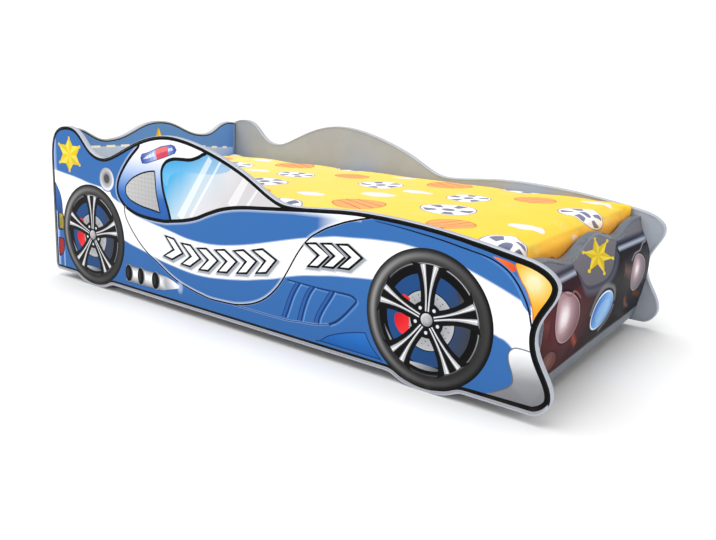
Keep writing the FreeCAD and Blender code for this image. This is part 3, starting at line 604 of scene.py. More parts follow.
def plasticFinish(name, code, darkCode, low, high, peel=900.0, shine=0.4, dust=0.0):
    finish = Finish(name, shine=shine)
    surface = finish.group(moulded, Peel_Scale=peel)
    base = finish.mix(surface["Marks"], code, darkCode)
    if dust:
        mask = finish.group(floorDust, Reach=0.06)["Mask"]
        base = finish.mix(finish.times(mask, dust), base, "#A79F92")
    finish.colour(base)
    finish.roughness(surface["Marks"], low, high)
    finish.bump(surface["Height"], 0.0001, 0.12)
    return finish.material


def woodFinish(name, early, late, stretch, lines, roughness):
    finish = Finish(name, shine=0.35)
    grain = finish.group(woodGrain, Stretch=stretch, Line_Scale=lines, Early=early, Late=late)
    finish.colour(grain["Colour"])
    finish.roughness(grain["Pores"], *roughness)
    finish.bump(grain["Height"], 0.0003, 0.4)
    return finish.material


def filmFinish(name, shine):
    # inks under a satin film: the ink comes with the mesh, the film adds a faint ripple
    finish = Finish(name, shine=shine)
    ink = addNode(finish.tree, "ShaderNodeVertexColor", layer_name="inkColour").outputs["Color"]
    surface = finish.group(moulded, Peel_Scale=420.0, Mark_Scale=9.0)
    rows = finish.group(threadWeave, Threads=5200.0)["Height"]
    inked = finish.mix(finish.times(rows, 0.05), ink, (0.02, 0.02, 0.03, 1))
    dust = finish.times(finish.group(floorDust, Reach=0.05)["Mask"], 0.18)
    finish.colour(finish.mix(dust, inked, "#9A948C"))
    finish.roughness(surface["Marks"], 0.30, 0.42)
    finish.bump(surface["Height"], 0.0002, 0.10)
    return finish.material


def metalFinish(name, code, low, high):
    finish = Finish(name, shine=0.5)
    finish.shader.inputs["Metallic"].default_value = 1.0
    surface = finish.group(moulded, Peel_Scale=1600.0, Mark_Scale=160.0)
    finish.colour(finish.mix(surface["Marks"], code, "#8F9196"))
    finish.roughness(surface["Marks"], low, high)
    finish.bump(surface["Height"], 0.0001, 0.3)
    return finish.material


def webbingFinish():
    finish = Finish("slatWebbing", roughness=0.75, shine=0.25)
    weave = finish.group(threadWeave, Threads=1900.0)
    finish.colour(finish.mix(weave["Fuzz"], "#E3E0D8", "#CFCABE"))
    finish.bump(weave["Height"], 0.0005, 0.7)
    return finish.material


def threadFinish():
    finish = Finish("sewingThread", roughness=0.7, shine=0.3)
    ply = noiseAt(finish.tree, finish.place, 900.0, 2)
    finish.colour(finish.mix(ply, "#F2D46A", "#D9B23C"))
    finish.bump(ply, 0.0002, 0.5)
    return finish.material


printedFilm = filmFinish("printedFilm", 0.08)
bumperInk = filmFinish("bumperFilm", 0.012)
greyEdging = plasticFinish("greyEdging", "#B2B7C2", "#A9AEBA", 0.28, 0.40, 700.0, 0.5, dust=0.3)
whiteBoard = plasticFinish("whiteBoard", "#AEB4BE", "#A8AEB8", 0.40, 0.55, 1500.0, 0.3, dust=0.3)
bumperPlastic = plasticFinish("bumperPlastic", "#666D78", "#606771", 0.28, 0.38, 1100.0, 0.4)
whitePlastic = plasticFinish("whitePlastic", "#E8E7E3", "#E0DED9", 0.35, 0.45, 1200.0)
foamFinish = plasticFinish("foamBlock", "#E9E2C4", "#E2DABA", 0.90, 0.95, 300.0, 0.1)
pineWood = woodFinish("pineRail", "#DDBD8C", "#C08F55", (0.05, 1, 1), 46.0, (0.42, 0.6))
beechWood = woodFinish("beechSlat", "#DDB891", "#C99A6C", (1, 0.06, 1), 75.0, (0.40, 0.55))
zincSteel = metalFinish("zincSteel", "#C6C8CC", 0.28, 0.45)
slatWebbing = webbingFinish()
print("finishes made")

# the drawn car on both sides
sideArt = {
    "rearWheelX": -679.5,     # the print's own zero, under the rear wheel
    "wheelFootZ": 6.5,
    "frontWheelX": 1272.0,
    "wheelHeight": 167.0,     # of the wheels' centres
    "lineWidth": 6.6,         # the edging's black lip adds to it
    "bottomRim": 4.7,         # a plain grey strip under the black line
    "body": "#376CAE",
    "stripe": "#FDFDFF",
    "navy": "#1B3768",
    "black": "#050506",
}
wheelLook = {
    "tyre": 167.0,            # these are radii
    "glint": 150.0,
    "rimLip": 133.0,
    "rimShadow": 130.5,
    "well": 127.0,
    "backing": 110.0,
    "disc": 70.5,
    "discHoles": ((60, 22), (52, 18)),
    "hub": 44.0,
    "boltCircle": 31.0,
    "cap": 15.5,
    "spokes": 5,
    "dark": "#101012",
}


def fillWheel(art, x, z, look):
    # a low-profile tyre on a wheel with split spokes
    hub = np.array([x, z])

    def polar(r, degrees):
        a = np.radians(degrees)
        return np.stack([x + r * np.cos(a), z + r * np.sin(a)], -1)

    def rubber(points):
        # lit from the left and above, with a soft bright ring on the shoulder
        r = np.hypot(*(points - hub).T)
        left = 0.5 - 0.5 * (points[:, 0] - x) / np.maximum(r, 1) * 0.95
        up = 0.5 + 0.5 * (points[:, 1] - z) / np.maximum(r, 1)
        ring = np.exp(-((r - look["glint"]) / 7.5) ** 2)
        light = (0.10 + 0.37 * ring * (0.08 + 0.92 * left ** 1.6)) * (0.74 + 0.36 * up)
        light = light * (1 - 0.85 * np.clip((r - 156) / 8, 0, 1) * (1 - left * 0.85))
        grey = np.clip(light, 0.0, 1) ** 1.5
        return np.stack([grey, grey * 0.98, grey * 0.97], 1)

    art.lay(ellipse(x, z, look["tyre"]), rubber)
    for r in (163, 159, 155.5, 152, 148.5, 145, 141, 137):
        ring = ellipse(x, z, r)
        art.guides.append(join(ring, ring[:1]))
    lip = fromTo((x - 100, z - 100), (x + 90, z + 100), "#2E2E30", "#5C5D61", "#A6A7AB")
    art.lay(ellipse(x, z, look["rimLip"]), lip)
    art.lay(ellipse(x, z, look["rimShadow"]), look["dark"])
    art.lay(ellipse(x, z, look["well"]), "#060607")
    backing = fromTo((x - 60, z), (x + 112, z - 30), "#1F4A80", "#1F477B", "#3B3C40")
    art.lay(ellipse(x + 2, z - 1, look["backing"]), backing)
    for start, end, radius, thick, codes in ((243, 296, 121, 13, ("#C9CACE", "#8E9095", "#3C3D41")),
                                             (196, 232, 119, 5, ("#5A5B60", "#9A9CA1", "#C9CACE")),
                                             (8, 50, 112, 12, ("#26272A", "#4A4B4F", "#26272A"))):
        # a slip of bright rim that shows past the spokes
        angles = np.linspace(start, end, 16)
        outer = polar(radius, angles)
        inner = polar(radius - thick * np.sin(np.linspace(0, math.pi, 16)), angles)[::-1]
        art.lay(join(outer, inner[1:-1]), fromTo(outer[0], outer[-1], *codes))
    art.lay(ellipse(x + 1, z - 2, look["disc"] + 2.5), "#0C0C0E")
    art.lay(ellipse(x + 1, z - 2, look["disc"]), outwards(x, z, 71, "#6E6F73", "#95969A", "#B4B5B9"))
    for radius, count in look["discHoles"]:
        for k in range(count):
            dot = polar(radius, 360 * (k + 0.5 * (radius < 55)) / count)
            art.lay(ellipse(*dot, 1.5, count=7), "#35353A")
    caliper = ((48, 184), (66, 179), (84, 182), (88, 196), (84, 212), (74, 221), (58, 217), (50, 203))
    art.lay(smoothLine([polar(*p) for p in caliper], 6, True),
            fromTo((x - 90, z + 10), (x - 40, z - 40), "#B8181E", "#E0222A", "#EE3C40"))
    above = ((62, 138), (80, 143), (84, 150), (70, 150), (60, 146))
    art.lay(smoothLine([polar(*p) for p in above], 5, True), "#DE3034")
    art.lay(ellipse(x, z, look["hub"]), "#070708")
    flank = ((12, 10), (34, 17), (60, 19), (86, 23.5), (106, 31), (122, 42), (129, 52))
    arm = ((20, 3.4), (50, 4.6), (78, 7.4), (104, 12.0), (128.5, 17.5))
    turn = 360 / look["spokes"]
    for k in range(look["spokes"]):
        middle = math.radians(90 + turn * k)
        way = np.array([math.cos(middle), math.sin(middle)])
        beside = np.array([-way[1], way[0]])
        for side in (-1, 1):
            # the black flank that widens into the rim
            edge = smoothLine([hub + way * r + side * beside * off for r, off in flank], 6)
            art.lay(join([hub], edge, [hub + way * 129]), "#0A0A0B")
        for side in (-1, 1):
            # one bright arm of the split spoke
            line = smoothLine([hub + way * r + side * beside * off for r, off in arm], 9)
            art.lay(stroke(line, 5.5, 6.5, 8.5, 12, 17), "#3A3B3E")
            art.lay(stroke(line, 3.2, 3.8, 5.4, 8.4, 13),
                    fromTo(hub + way * 20, hub + way * 128, "#D9DADD", "#BFC0C4", "#B4B5B8", "#C6C7CA"))
            art.lay(stroke(line, 0.8, 1.0, 1.4, 2.2, 3.4, offset=-side * 1.2), "#F1F2F4")
    for k in range(look["spokes"]):
        dot = polar(look["boltCircle"], 54 + turn * k)
        art.lay(ellipse(*dot, 6.2, count=14), "#050506")
        art.lay(ellipse(*dot, 4.4, count=12), "#DADBDD")
    art.lay(ellipse(x, z, look["cap"] + 2), look["dark"])
    art.lay(ellipse(x, z, look["cap"]),
            fromTo((x - 12, z + 12), (x + 12, z - 12), "#DADBDD", "#A9AAAD", "#77787C"))
    art.lay(ellipse(x, z, 9.5), outwards(x - 3, z + 3, 13, "#C4C5C8", "#9FA0A4"))


def facets(art, centre, loop, light, dark, strength):
    # the cut faces of a star, every other one lighter
    for k in range(len(loop)):
        art.lay([centre, loop[k], loop[(k + 1) % len(loop)]], light if k % 2 else dark, strength)


def inwardOf(loop):
    return along(loop, closed=True) * windingOf(loop)


def onBoard(shift, x=None, y=None):
    # sets a place of the art, in millimetres, on an upright board, in metres
    def place(p):
        across, z = (p + shift) / 1000
        return (across, y, z) if x is None else (x, across, z)
    return place


def chevronRow(art, centreLine, count, size, thick):
    # outlined chevrons that lean forward along the stripe
    for k in range(count):
        t = (k + 0.5) / count
        i = int(t * (len(centreLine) - 1))
        way = centreLine[min(i + 1, len(centreLine) - 1)] - centreLine[max(i - 1, 0)]
        way = way / np.linalg.norm(way)
        side = np.array([-way[1], way[0]])
        half = size / 2
        reach = size * 0.34
        shape = np.array([(-thick - reach, half), (-reach, half), (reach, 0), (-reach, -half),
                          (-thick - reach, -half), (-thick + reach, 0)])
        for grow, colour, cover, shift in ((12.0, "#C3C7CE", 0.7, (4.0, -4.0)),
                                           (9.0, "#7F858F", 0.7, (3.5, -3.5)),
                                           (6.4, "#08080A", 1.0, (0, 0)), (0, "#F7F8FA", 1.0, (0, 0))):
            out = grown(shape, grow) if grow else shape
            world = centreLine[i] + out[:, :1] * way + out[:, 1:] * side + np.array(shift)
            art.lay(world, colour, cover)


def drawCar(outline, look):
    shift = np.array([look["rearWheelX"], look["wheelFootZ"]])
    art = Artwork(outline - shift, fromTo((0, 0), (0, 480), "#3467A5", look["body"], "#386EB0"))
    black = look["black"]

    # tail: lighter bands down the edge, fairing and lamps
    art.lay(smoothLine([(-216, 20), (-216, 490), (-196, 490), (-189, 420), (-188, 300), (-190, 20)], 20),
            fromTo((-206, 0), (-188, 0), "#A9C2EC", "#A9C2EC", look["body"]))
    upper = smoothLine([
        (-216, 363), (-150, 355), (-100, 350), (-50, 343), (-15, 337), (87, 326), (108, 307), (140, 294),
        (171, 286), (213, 265), (250, 256), (300, 249), (350, 242), (400, 235), (450, 227), (500, 224),
        (550, 224.5), (600, 229), (650, 237), (700, 247), (750, 259), (800, 272), (850, 285), (900, 297),
        (950, 307), (1000, 317), (1050, 322), (1100, 327), (1150, 330), (1200, 331), (1290, 322),
        (1340, 311), (1378, 299), (1400, 292), (1450, 275), (1500, 256), (1524, 247)], 9)
    lower = smoothLine([
        (-216, 322), (-190, 300), (-175, 280), (-168, 255), (-150, 200), (60, 195), (165, 178), (200, 170),
        (250, 161), (300, 151), (350, 142), (400, 136), (450, 131), (500, 128.6), (550, 130.5), (600, 136),
        (650, 143), (700, 151.5), (750, 163), (800, 174.5), (850, 190), (900, 203), (950, 212),
        (1000, 221), (1050, 227), (1100, 233), (1180, 238), (1300, 222), (1380, 200), (1443, 174),
        (1465, 168), (1480, 158), (1486, 152), (1528, 150)], 9)
    stripe = join(upper, lower[::-1])
    art.glow(upper, 4.5, "#DCE7F8", 0.9)
    art.glow(lower, 4.5, "#DCE7F8", 0.9)
    art.lay(stripe, look["stripe"])
    art.lay(smoothLine([(-207, 318), (-190, 298), (-177, 270), (-171, 245), (-171, 215), (-198, 215),
                        (-207, 240)], 8, True), fromTo((-205, 300), (-172, 230), "#3C6CB4", "#24508F"))
    art.lay(stroke(smoothLine([(-207, 319), (-190, 300), (-177, 276), (-170, 245), (-169, 215)], 6), 3.2),
            look["navy"])
    art.lay(smoothLine([(-200, 216), (-200, 160), (-186, 156), (-168, 160), (-160, 190), (-165, 216)], 8),
            "#1B2C49")
    art.lay([(-192, 214), (-170, 214), (-166, 190), (-169, 163), (-191, 163)],
            fromTo((-192, 0), (-168, 0), "#7C7230", "#B9AA4C", "#9C8A38"))
    art.lay(stroke([(-168.0, 110.0), (-168.0, 30.0)], 7), "#9DB8E6", 0.85)
    art.lay(smoothLine([(-200, 130), (-200, 66), (-186, 66), (-168, 84), (-164, 118), (-168, 130)], 8),
            "#1B2445")
    art.lay([(-196, 126), (-171, 126), (-169, 100), (-174, 82), (-186, 71), (-195, 71)],
            fromTo((-196, 0), (-170, 0), "#8C1C22", "#C02C30", "#962226"))

    # filler cap and the tail's star
    art.lay(ellipse(84, 361, 40), "#2F62B0")
    art.lay(ellipse(84, 361, 37), fromTo((60, 390), (108, 332), "#9DA0A6", "#D2D3D6", "#EDEEF0"))
    art.lay(ellipse(84, 362, 29), outwards(84, 364, 29, "#2C2C30", "#55555A", "#A4A4A8", "#C6C7CA"))
    art.lay(ellipse(84, 362, 14), "#3A393D", 0.8)
    starLoop = np.array([(-115, 478), (-96, 452), (-55, 453), (-76, 421), (-58, 391), (-97, 391),
                         (-118, 366), (-137, 391), (-174, 390), (-153, 421), (-175, 453), (-134, 452)],
                        float)
    middle = starLoop.mean(0)
    art.lay(middle + (starLoop - middle) * 1.05, "#8E8A3C", 0.55)
    art.lay(starLoop, fromTo((-150, 470), (-90, 370), "#EBD22A", "#F2D61E", "#DDBB1A"))
    facets(art, middle, starLoop, "#FFF08A", "#D2A90E", 0.3)
    for tip in starLoop[::2]:
        ball = middle + (tip - middle) * 0.97
        art.lay(ellipse(*ball, 5.5, count=12), "#E9C634")

    # cabin: white roof, shaded rear pillar, screen of plain tinted glass
    sill = smoothLine([(256, 500), (250, 487), (245, 476), (214, 449.5), (187, 423), (161, 391.6),
                       (145, 365), (138.4, 339), (142.6, 318), (156, 302), (177, 286), (213.7, 273),
                       (255.8, 266), (308, 263.7), (361, 265), (400, 271), (450, 280), (500, 293.6),
                       (550, 314), (600, 332), (650, 343.6), (700, 351), (750, 356), (800, 361), (850, 366),
                       (900, 371)], 6)
    pillar = smoothLine([
        (552, 492), (540, 482), (529, 478), (508, 468), (477, 459), (440, 457), (408, 455), (382, 448),
        (364, 436), (353, 418), (351.6, 397), (356, 365), (366, 334), (379.5, 302), (390, 270)], 5)
    cabin = join(sill, [(905, 380), (905, 620), (250, 620)])
    hem = join(sill, smoothLine([(860, 367), (930, 370), (1000, 374), (1080, 377)], 12))
    art.glow(hem, 13, "#EDF3FD", 0.9)
    art.lay(cabin, fromTo((0, 455), (0, 285), "#F6F7FC", "#C4D3F0", "#7FA3DA", "#2F68B4", "#2A5FA8"))
    ahead = sill[sill[:, 0] > 386]
    screen = join(pillar[::-1][2:], [(556, 620), (900, 620), (900, 372)], ahead[::-1])
    art.lay(screen, fromTo((430, 500), (610, 330), "#35A0DC", "#5DB4E2", "#B9D6E6", "#DEDDE0", "#D3D0D2"))
    art.lay(smoothLine([(352, 400), (368, 440), (404, 452), (470, 456), (525, 474), (560, 488), (640, 452),
                        (590, 430), (520, 424), (440, 420), (392, 404), (374, 372)], 8, True),
            fromTo((440, 470), (440, 400), "#2F93D2", "#7CC6EC"), 0.55)
    for a, b, width, strength in (((430, 285), (560, 470), 26, 0.5), ((476, 292), (604, 470), 10, 0.5),
                                  ((640, 345), (700, 430), 30, 0.45), ((700, 352), (740, 404), 10, 0.45)):
        art.lay(stroke([a, b], width, width * 0.7), "#FFFFFF", strength)
    art.lay(stroke(pillar, 10.0), black)
    quarter = smoothLine([(320.5, 411), (292.6, 407), (255.8, 397), (213.7, 378), (187, 357), (179.5, 344),
                          (181, 328), (192.6, 315), (213.7, 306), (255.8, 297), (298, 292.6), (342.6, 288)],
                         5)
    side = smoothLine([(342.6, 288), (334.7, 312.6), (325, 355), (320.5, 411)], 5)
    glass = join(quarter, side[1:-1])
    art.lay(glass, fromTo((200, 380), (330, 300), "#C6C5C2", "#BDBCBA", "#B3B2B2"))
    for k in range(9):
        x = 196 + 16 * k
        z = 296 + 13 * k
        for bar in ([(x, 286), (x - 4, 420)], [(176, z), (346, z - 3)]):
            art.lay(stroke(bar, 1.6), "#8D97A4", 0.55, inside=glass)
    art.lay(stroke(join(quarter, side[1:], quarter[:1]), 4.6), black)
    art.lay(stroke(sill, 9.4, 10.8, 10.8, 9.8), black)

    # light bar on the roof
    bar = np.array([(256, 444), (263, 429), (284, 431), (366, 456), (412, 472), (419, 482), (411, 492),
                    (396, 495), (350.5, 486), (292.6, 464), (262, 456)], float)
    art.lay(bar,
            fromTo((258, 440), (416, 486), "#36469A", "#6E82C8", "#B9C8EE", "#5068BC", "#7A90D0",
                   "#3449A0"))
    for facet, colour in (([(324, 476), (332, 446), (384, 463), (376, 490)], "#E23A3A"),
                          ([(324, 476), (328, 461), (380, 477), (376, 490)], "#F27A78"),
                          ([(268, 442), (290, 446), (322, 456), (318, 467), (290, 456)], "#E6EDFB"),
                          ([(384, 474), (404, 480), (400, 488), (382, 483)], "#D5E0F8")):
        art.lay(facet, colour, 0.9)
    for a, b in (((300, 436), (292, 463)), ((314, 441), (306, 470)), ((352, 452), (344, 484)),
                 ((396, 467), (390, 494))):
        art.lay(stroke([a, b], 2.0), "#5A6AA8", 0.6)
    art.lay(stroke(join(bar, bar[:1]), 2.4), "#3A4A7C", 0.95)

    # door and sill lines with their soft highlights
    door = smoothLine([(171, 286), (172.6, 265), (182, 244), (203, 218), (229.5, 191.6), (255.8, 170.5),
                       (287, 150.5), (319, 136), (350.5, 120.5), (382, 104.7), (424, 89), (477, 77),
                       (519, 70.5), (558, 66), (600, 67), (650, 70), (682, 75.5), (718, 85.5), (750, 99),
                       (777, 116), (800, 136), (823, 162), (850, 203), (877, 248), (900, 280), (923, 304),
                       (950, 322), (977, 337), (1009, 350.5), (1036, 361), (1073, 372), (1100, 379),
                       (1125, 386)], 7)
    art.glow(door + along(door) * 2.5, 7, "#F0F5FF", 0.6)
    shut = smoothLine([(650, 68.6), (760, 68.6), (850, 69.5), (900, 75.5), (945, 80), (991, 91),
                       (1014, 98)], 8)
    art.glow(shut, 4, "#C6D8F4", 0.5)
    wedge = join(door[door[:, 0] > 940], [(1125, 396), (940, 396)])
    art.lay(wedge, "#FFFFFF", lambda p: 0.95 * np.clip((p[:, 0] - 945) / 85, 0, 1))
    art.guides += [[(x, 300), (x, 392)] for x in (945, 962, 979, 996, 1013, 1030)]
    art.lay(stroke(door, 4.6), black)
    art.lay(stroke(shut, 2.2), look["navy"])

    # gill slots ahead of the door
    gill = smoothLine([(850, 180), (900, 179), (968, 178), (1036, 180), (1059, 178.6), (1073, 171),
                       (1070, 162), (1054.5, 143.6), (1036, 123), (1014, 103), (991, 90)], 6)
    art.glow(gill + np.array([5, -3]), 5, "#6FA0E2", 0.5)
    art.lay(stroke(gill, 4.0, 7.0), look["navy"])
    for line in ([(893, 178), (882, 162), (868, 134.5), (854.5, 98), (846, 76)],
                 [(941, 177), (929.5, 162), (918, 139), (907, 107), (900, 78)],
                 [(1004.5, 178), (991, 155), (975, 130), (961, 103), (957, 84.5)]):
        slat = smoothLine(line, 7)
        art.lay(stroke(slat + np.array([-8, 0]), 9), "#2B5DA6")
        art.lay(stroke(slat + np.array([7, 0]), 4), "#6C9EE0", 0.7)
        art.lay(stroke(slat, 5.4), look["navy"])
        art.lay(stroke(slat + np.array([-13, 0]), 2.6), look["navy"])
    step = smoothLine([(950, 38), (963.6, 40), (991, 59.5), (1036, 78), (1082, 91), (1103, 95)], 6)
    fender = smoothLine([(1105, 94), (1112, 80), (1128, 60), (1151, 40), (1156, 34)], 6)
    panel = join(step, fender, [(1150, 38), (960, 38)])
    art.lay(panel, fromTo((1050, 95), (1050, 38), "#2C73C4", "#1B5AA4"))
    art.lay(stroke(join(step, fender), 3.0), look["navy"])
    art.lay(stroke([(960, 40), (1152, 39)], 3.0), look["navy"])

    # three tail pipes
    pipes = smoothLine([(172, 100), (330, 97), (380, 92), (424, 78), (424, 70), (380, 58), (330, 47),
                        (172, 44)], 10)
    art.lay(pipes + np.array([0, -3.0]), "#2C5EA8")
    art.lay(pipes, fromTo((0, 98), (0, 46), "#5E6064", "#F4F5F6", "#FFFFFF", "#B9BBBF", "#6A6C70"))
    art.lay(ellipse(428, 74, 16, 24), "#C9DCF6",
            lambda p: 0.9 * np.clip(1 - np.hypot((p[:, 0] - 428) / 16, (p[:, 1] - 74) / 24), 0, 1))
    art.guides.append(ellipse(428, 74, 7, 10))
    for x, rx in ((184.7, 16.5), (244, 15), (314.7, 17)):
        art.lay(ellipse(x + 3, 73, rx + 2, 29), "#8E9094")
        art.lay(ellipse(x, 73, rx, 27), "#040404")
        art.lay(ellipse(x - 5, 73, rx * 0.35, 17), "#3A3B3E", 0.6)

    # nose: bonnet line, lamps and the corner guard
    art.lay(smoothLine([(1368, 350), (1432, 337), (1470, 318), (1500, 288), (1518, 244), (1519, 234),
                        (1500, 250), (1488, 274), (1470, 299), (1440, 322), (1400, 338)], 8, True),
            "#4E82C4")
    bonnet = smoothLine([(1120, 375), (1180, 371), (1240, 365), (1300, 358), (1350, 350), (1400, 342),
                         (1432, 333), (1460, 318), (1480, 299), (1496, 277), (1508, 255), (1516, 232),
                         (1521, 212), (1528, 196), (1534, 188)], 6)
    art.lay(smoothLine([(1425, 343), (1472, 334), (1472, 317), (1455, 327)], 6, True),
            fromTo((1430, 336), (1470, 322), "#F07A38", "#E8521E"))
    lamp = smoothLine([(1476, 336), (1500, 338), (1524, 336), (1548, 326), (1562, 308), (1562, 286),
                       (1556, 264), (1546, 244), (1536, 226), (1526, 214), (1521, 244), (1514, 264),
                       (1502, 288), (1490, 304)], 6, True)
    art.lay(lamp, outwards(1519, 305, 78, "#FFF6E4", "#FFD98A", "#FBBE4C", "#F8A62E", "#F49A22"))
    art.guides.append(ellipse(1519, 303, 12))
    art.guides.append(ellipse(1517, 300, 22, 24))
    art.lay(stroke(join(lamp, lamp[:1]), 3.0), "#C8721C", 0.85)
    art.lay(stroke(bonnet, 1.5, 3.4, 3.8, 4.4, 4.4), "#0C1A36")
    guard = smoothLine([(1486, 152), (1500, 155), (1530, 154), (1536, 132), (1546, 110), (1560, 88),
                        (1568, 66), (1564, 40), (1540, 28), (1500, 26), (1425, 28), (1440, 39), (1460, 51),
                        (1480, 64), (1489, 76), (1487, 96), (1478, 120), (1477, 140)], 6, True)
    art.lay(guard, fromTo((1496, 150), (1516, 42), "#F4F4F6", "#D9DADC", "#A2A3A7", "#828387", "#7A7B80"))
    art.lay(stroke(smoothLine([(1440, 39), (1462, 51), (1481, 64), (1490, 78), (1487, 97), (1478, 120),
                               (1476, 140), (1486, 153), (1502, 156), (1536, 154)], 5), 3.2), "#59616F",
            0.9)

    # marks along the stripe
    path = smoothLine([(380, 188), (450, 180), (520, 178), (600, 186), (680, 198), (760, 214), (822, 228)],
                      3)
    chevronRow(art, path, 6, 58, 29)
    path = smoothLine([(942, 262), (1000, 270), (1090, 280)], 3)
    chevronRow(art, path, 3, 54, 25)

    # the black line round the whole car, drawn last but for the wheels
    loop = art.outline
    inward = inwardOf(loop)
    low = np.clip((52 - loop[:, 1]) / 26, 0, 1)
    nose = np.clip((loop[:, 0] - 1330) / 120, 0, 1)
    rim = look["bottomRim"] * low
    width = look["lineWidth"] + 3.2 * nose + 1.5 * low * nose
    art.lay(loop + inward * (rim + width)[:, None], black, outside=True)
    art.lay(loop + inward * rim[:, None], "#A3A3A8", outside=True)
    for x in (0.0, look["frontWheelX"]):
        fillWheel(art, x, look["wheelHeight"], wheelLook)
    return art, shift


outline = nodeOutline("side_print_right", (0, -1, 0), (0, 2))
carArt, carShift = drawCar(outline, sideArt)
for nodeName, way in (("side_print_right", -1), ("side_print_left", 1)):
    low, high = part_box(nodeName)
    outer, inner = (low.y, high.y) if way < 0 else (high.y, low.y)
    printedSheet("carPrint_" + nodeName.split("_")[-1], carArt, onBoard(carShift, y=outer),
                 onBoard(carShift, y=inner), printedFilm, nodeName, flip=way > 0)

# the headboard's print, on the face towards the bed. Its blues are painted lighter than the blue of the
# car's sides: painted light that makes up for the shade on that face
headArt = {"shiftY": -422.5, "shiftZ": 6.5, "body": "#6496E4", "light": "#BFD6FF"}


def drawHeadboard(outline, look):
    shift = np.array([look["shiftY"], look["shiftZ"]])
    art = Artwork(outline - shift, look["body"])
    dash = smoothLine([(0, 440), (100, 436), (200, 434), (300, 432), (420, 428), (520, 421), (620, 412),
                       (720, 402), (860, 396)], 12)
    art.lay(join(dash, [(900, 0), (-40, 0)]),
            fromTo((0, 430), (0, 250), look["light"], "#B4CEFF", "#8FAFE0"))
    lengths = join([0], np.cumsum(np.linalg.norm(np.diff(dash, axis=0), axis=1)))
    for k in range(14):
        span = (lengths >= 62 * k) & (lengths <= 62 * k + 40)
        if span.sum() > 1:
            art.lay(stroke(dash[span], 8), "#FFFFFF")
    for edge, way in ((22, 1), (823, -1)):
        art.lay([(edge - 12, 0), (edge + 12, 0), (edge + 12, 540), (edge - 12, 540)],
                fromTo((edge - 12 * way, 0), (edge + 12 * way, 0), "#DCE6F8", "#A9C2EC", look["body"]))
    art.lay(star(420, 404, 92, 46), "#8E8A3C", 0.5)
    badge = star(420, 404, 88, 43)
    art.lay(badge, "#F2D21C")
    facets(art, (420, 404), badge, "#FFE35A", "#D9A60C", 0.35)
    art.lay(art.outline + inwardOf(art.outline) * 4.0, "#0A1830", outside=True)
    return art, shift


outline = nodeOutline("headboard_print", (1, 0, 0), (1, 2))
headSheet, headShift = drawHeadboard(outline, headArt)
low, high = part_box("headboard_print")
printedSheet("headboardPrint", headSheet, onBoard(headShift, x=high.x), onBoard(headShift, x=low.x),
             printedFilm, "headboard_print")

# the bumper's print, which follows its bulge
noseArt = {
    "shiftY": -422.5,
    "shiftZ": 6.5,
    "film": 0.25,             # its thickness
    "badge": (430, 146, 80, 48),
    "star": (422, 287, 104, 43),
    "lamps": (
        {"place": (170, 190), "size": (78, 55), "tilt": -0.38, "glint": (-24, 8),
         "shades": ("#FFFFFF", "#EBDCDF", "#B4949A", "#94747C", "#84646B", "#76545A")},
        {"place": (716, 190), "size": (66, 50), "tilt": -0.2, "glint": (-18, 14),
         "shades": ("#FFFFFF", "#CDB4BC", "#98808A", "#7F7A80", "#6E7278", "#64686F")},
    ),
}


def bulgeOf(node):
    # how far forward the CAD film's front stands at each height
    found = {}
    mesh = cadNodes[node].data
    for face in mesh.polygons:
        if face.normal.x > 0.3:
            for i in face.vertices:
                p = mesh.vertices[i].co
                key = round(p.z, 5)
                found[key] = max(found.get(key, -9), p.x)
    heights = np.array(sorted(found))
    return heights * 1000, np.array([found[h] for h in sorted(found)]) * 1000


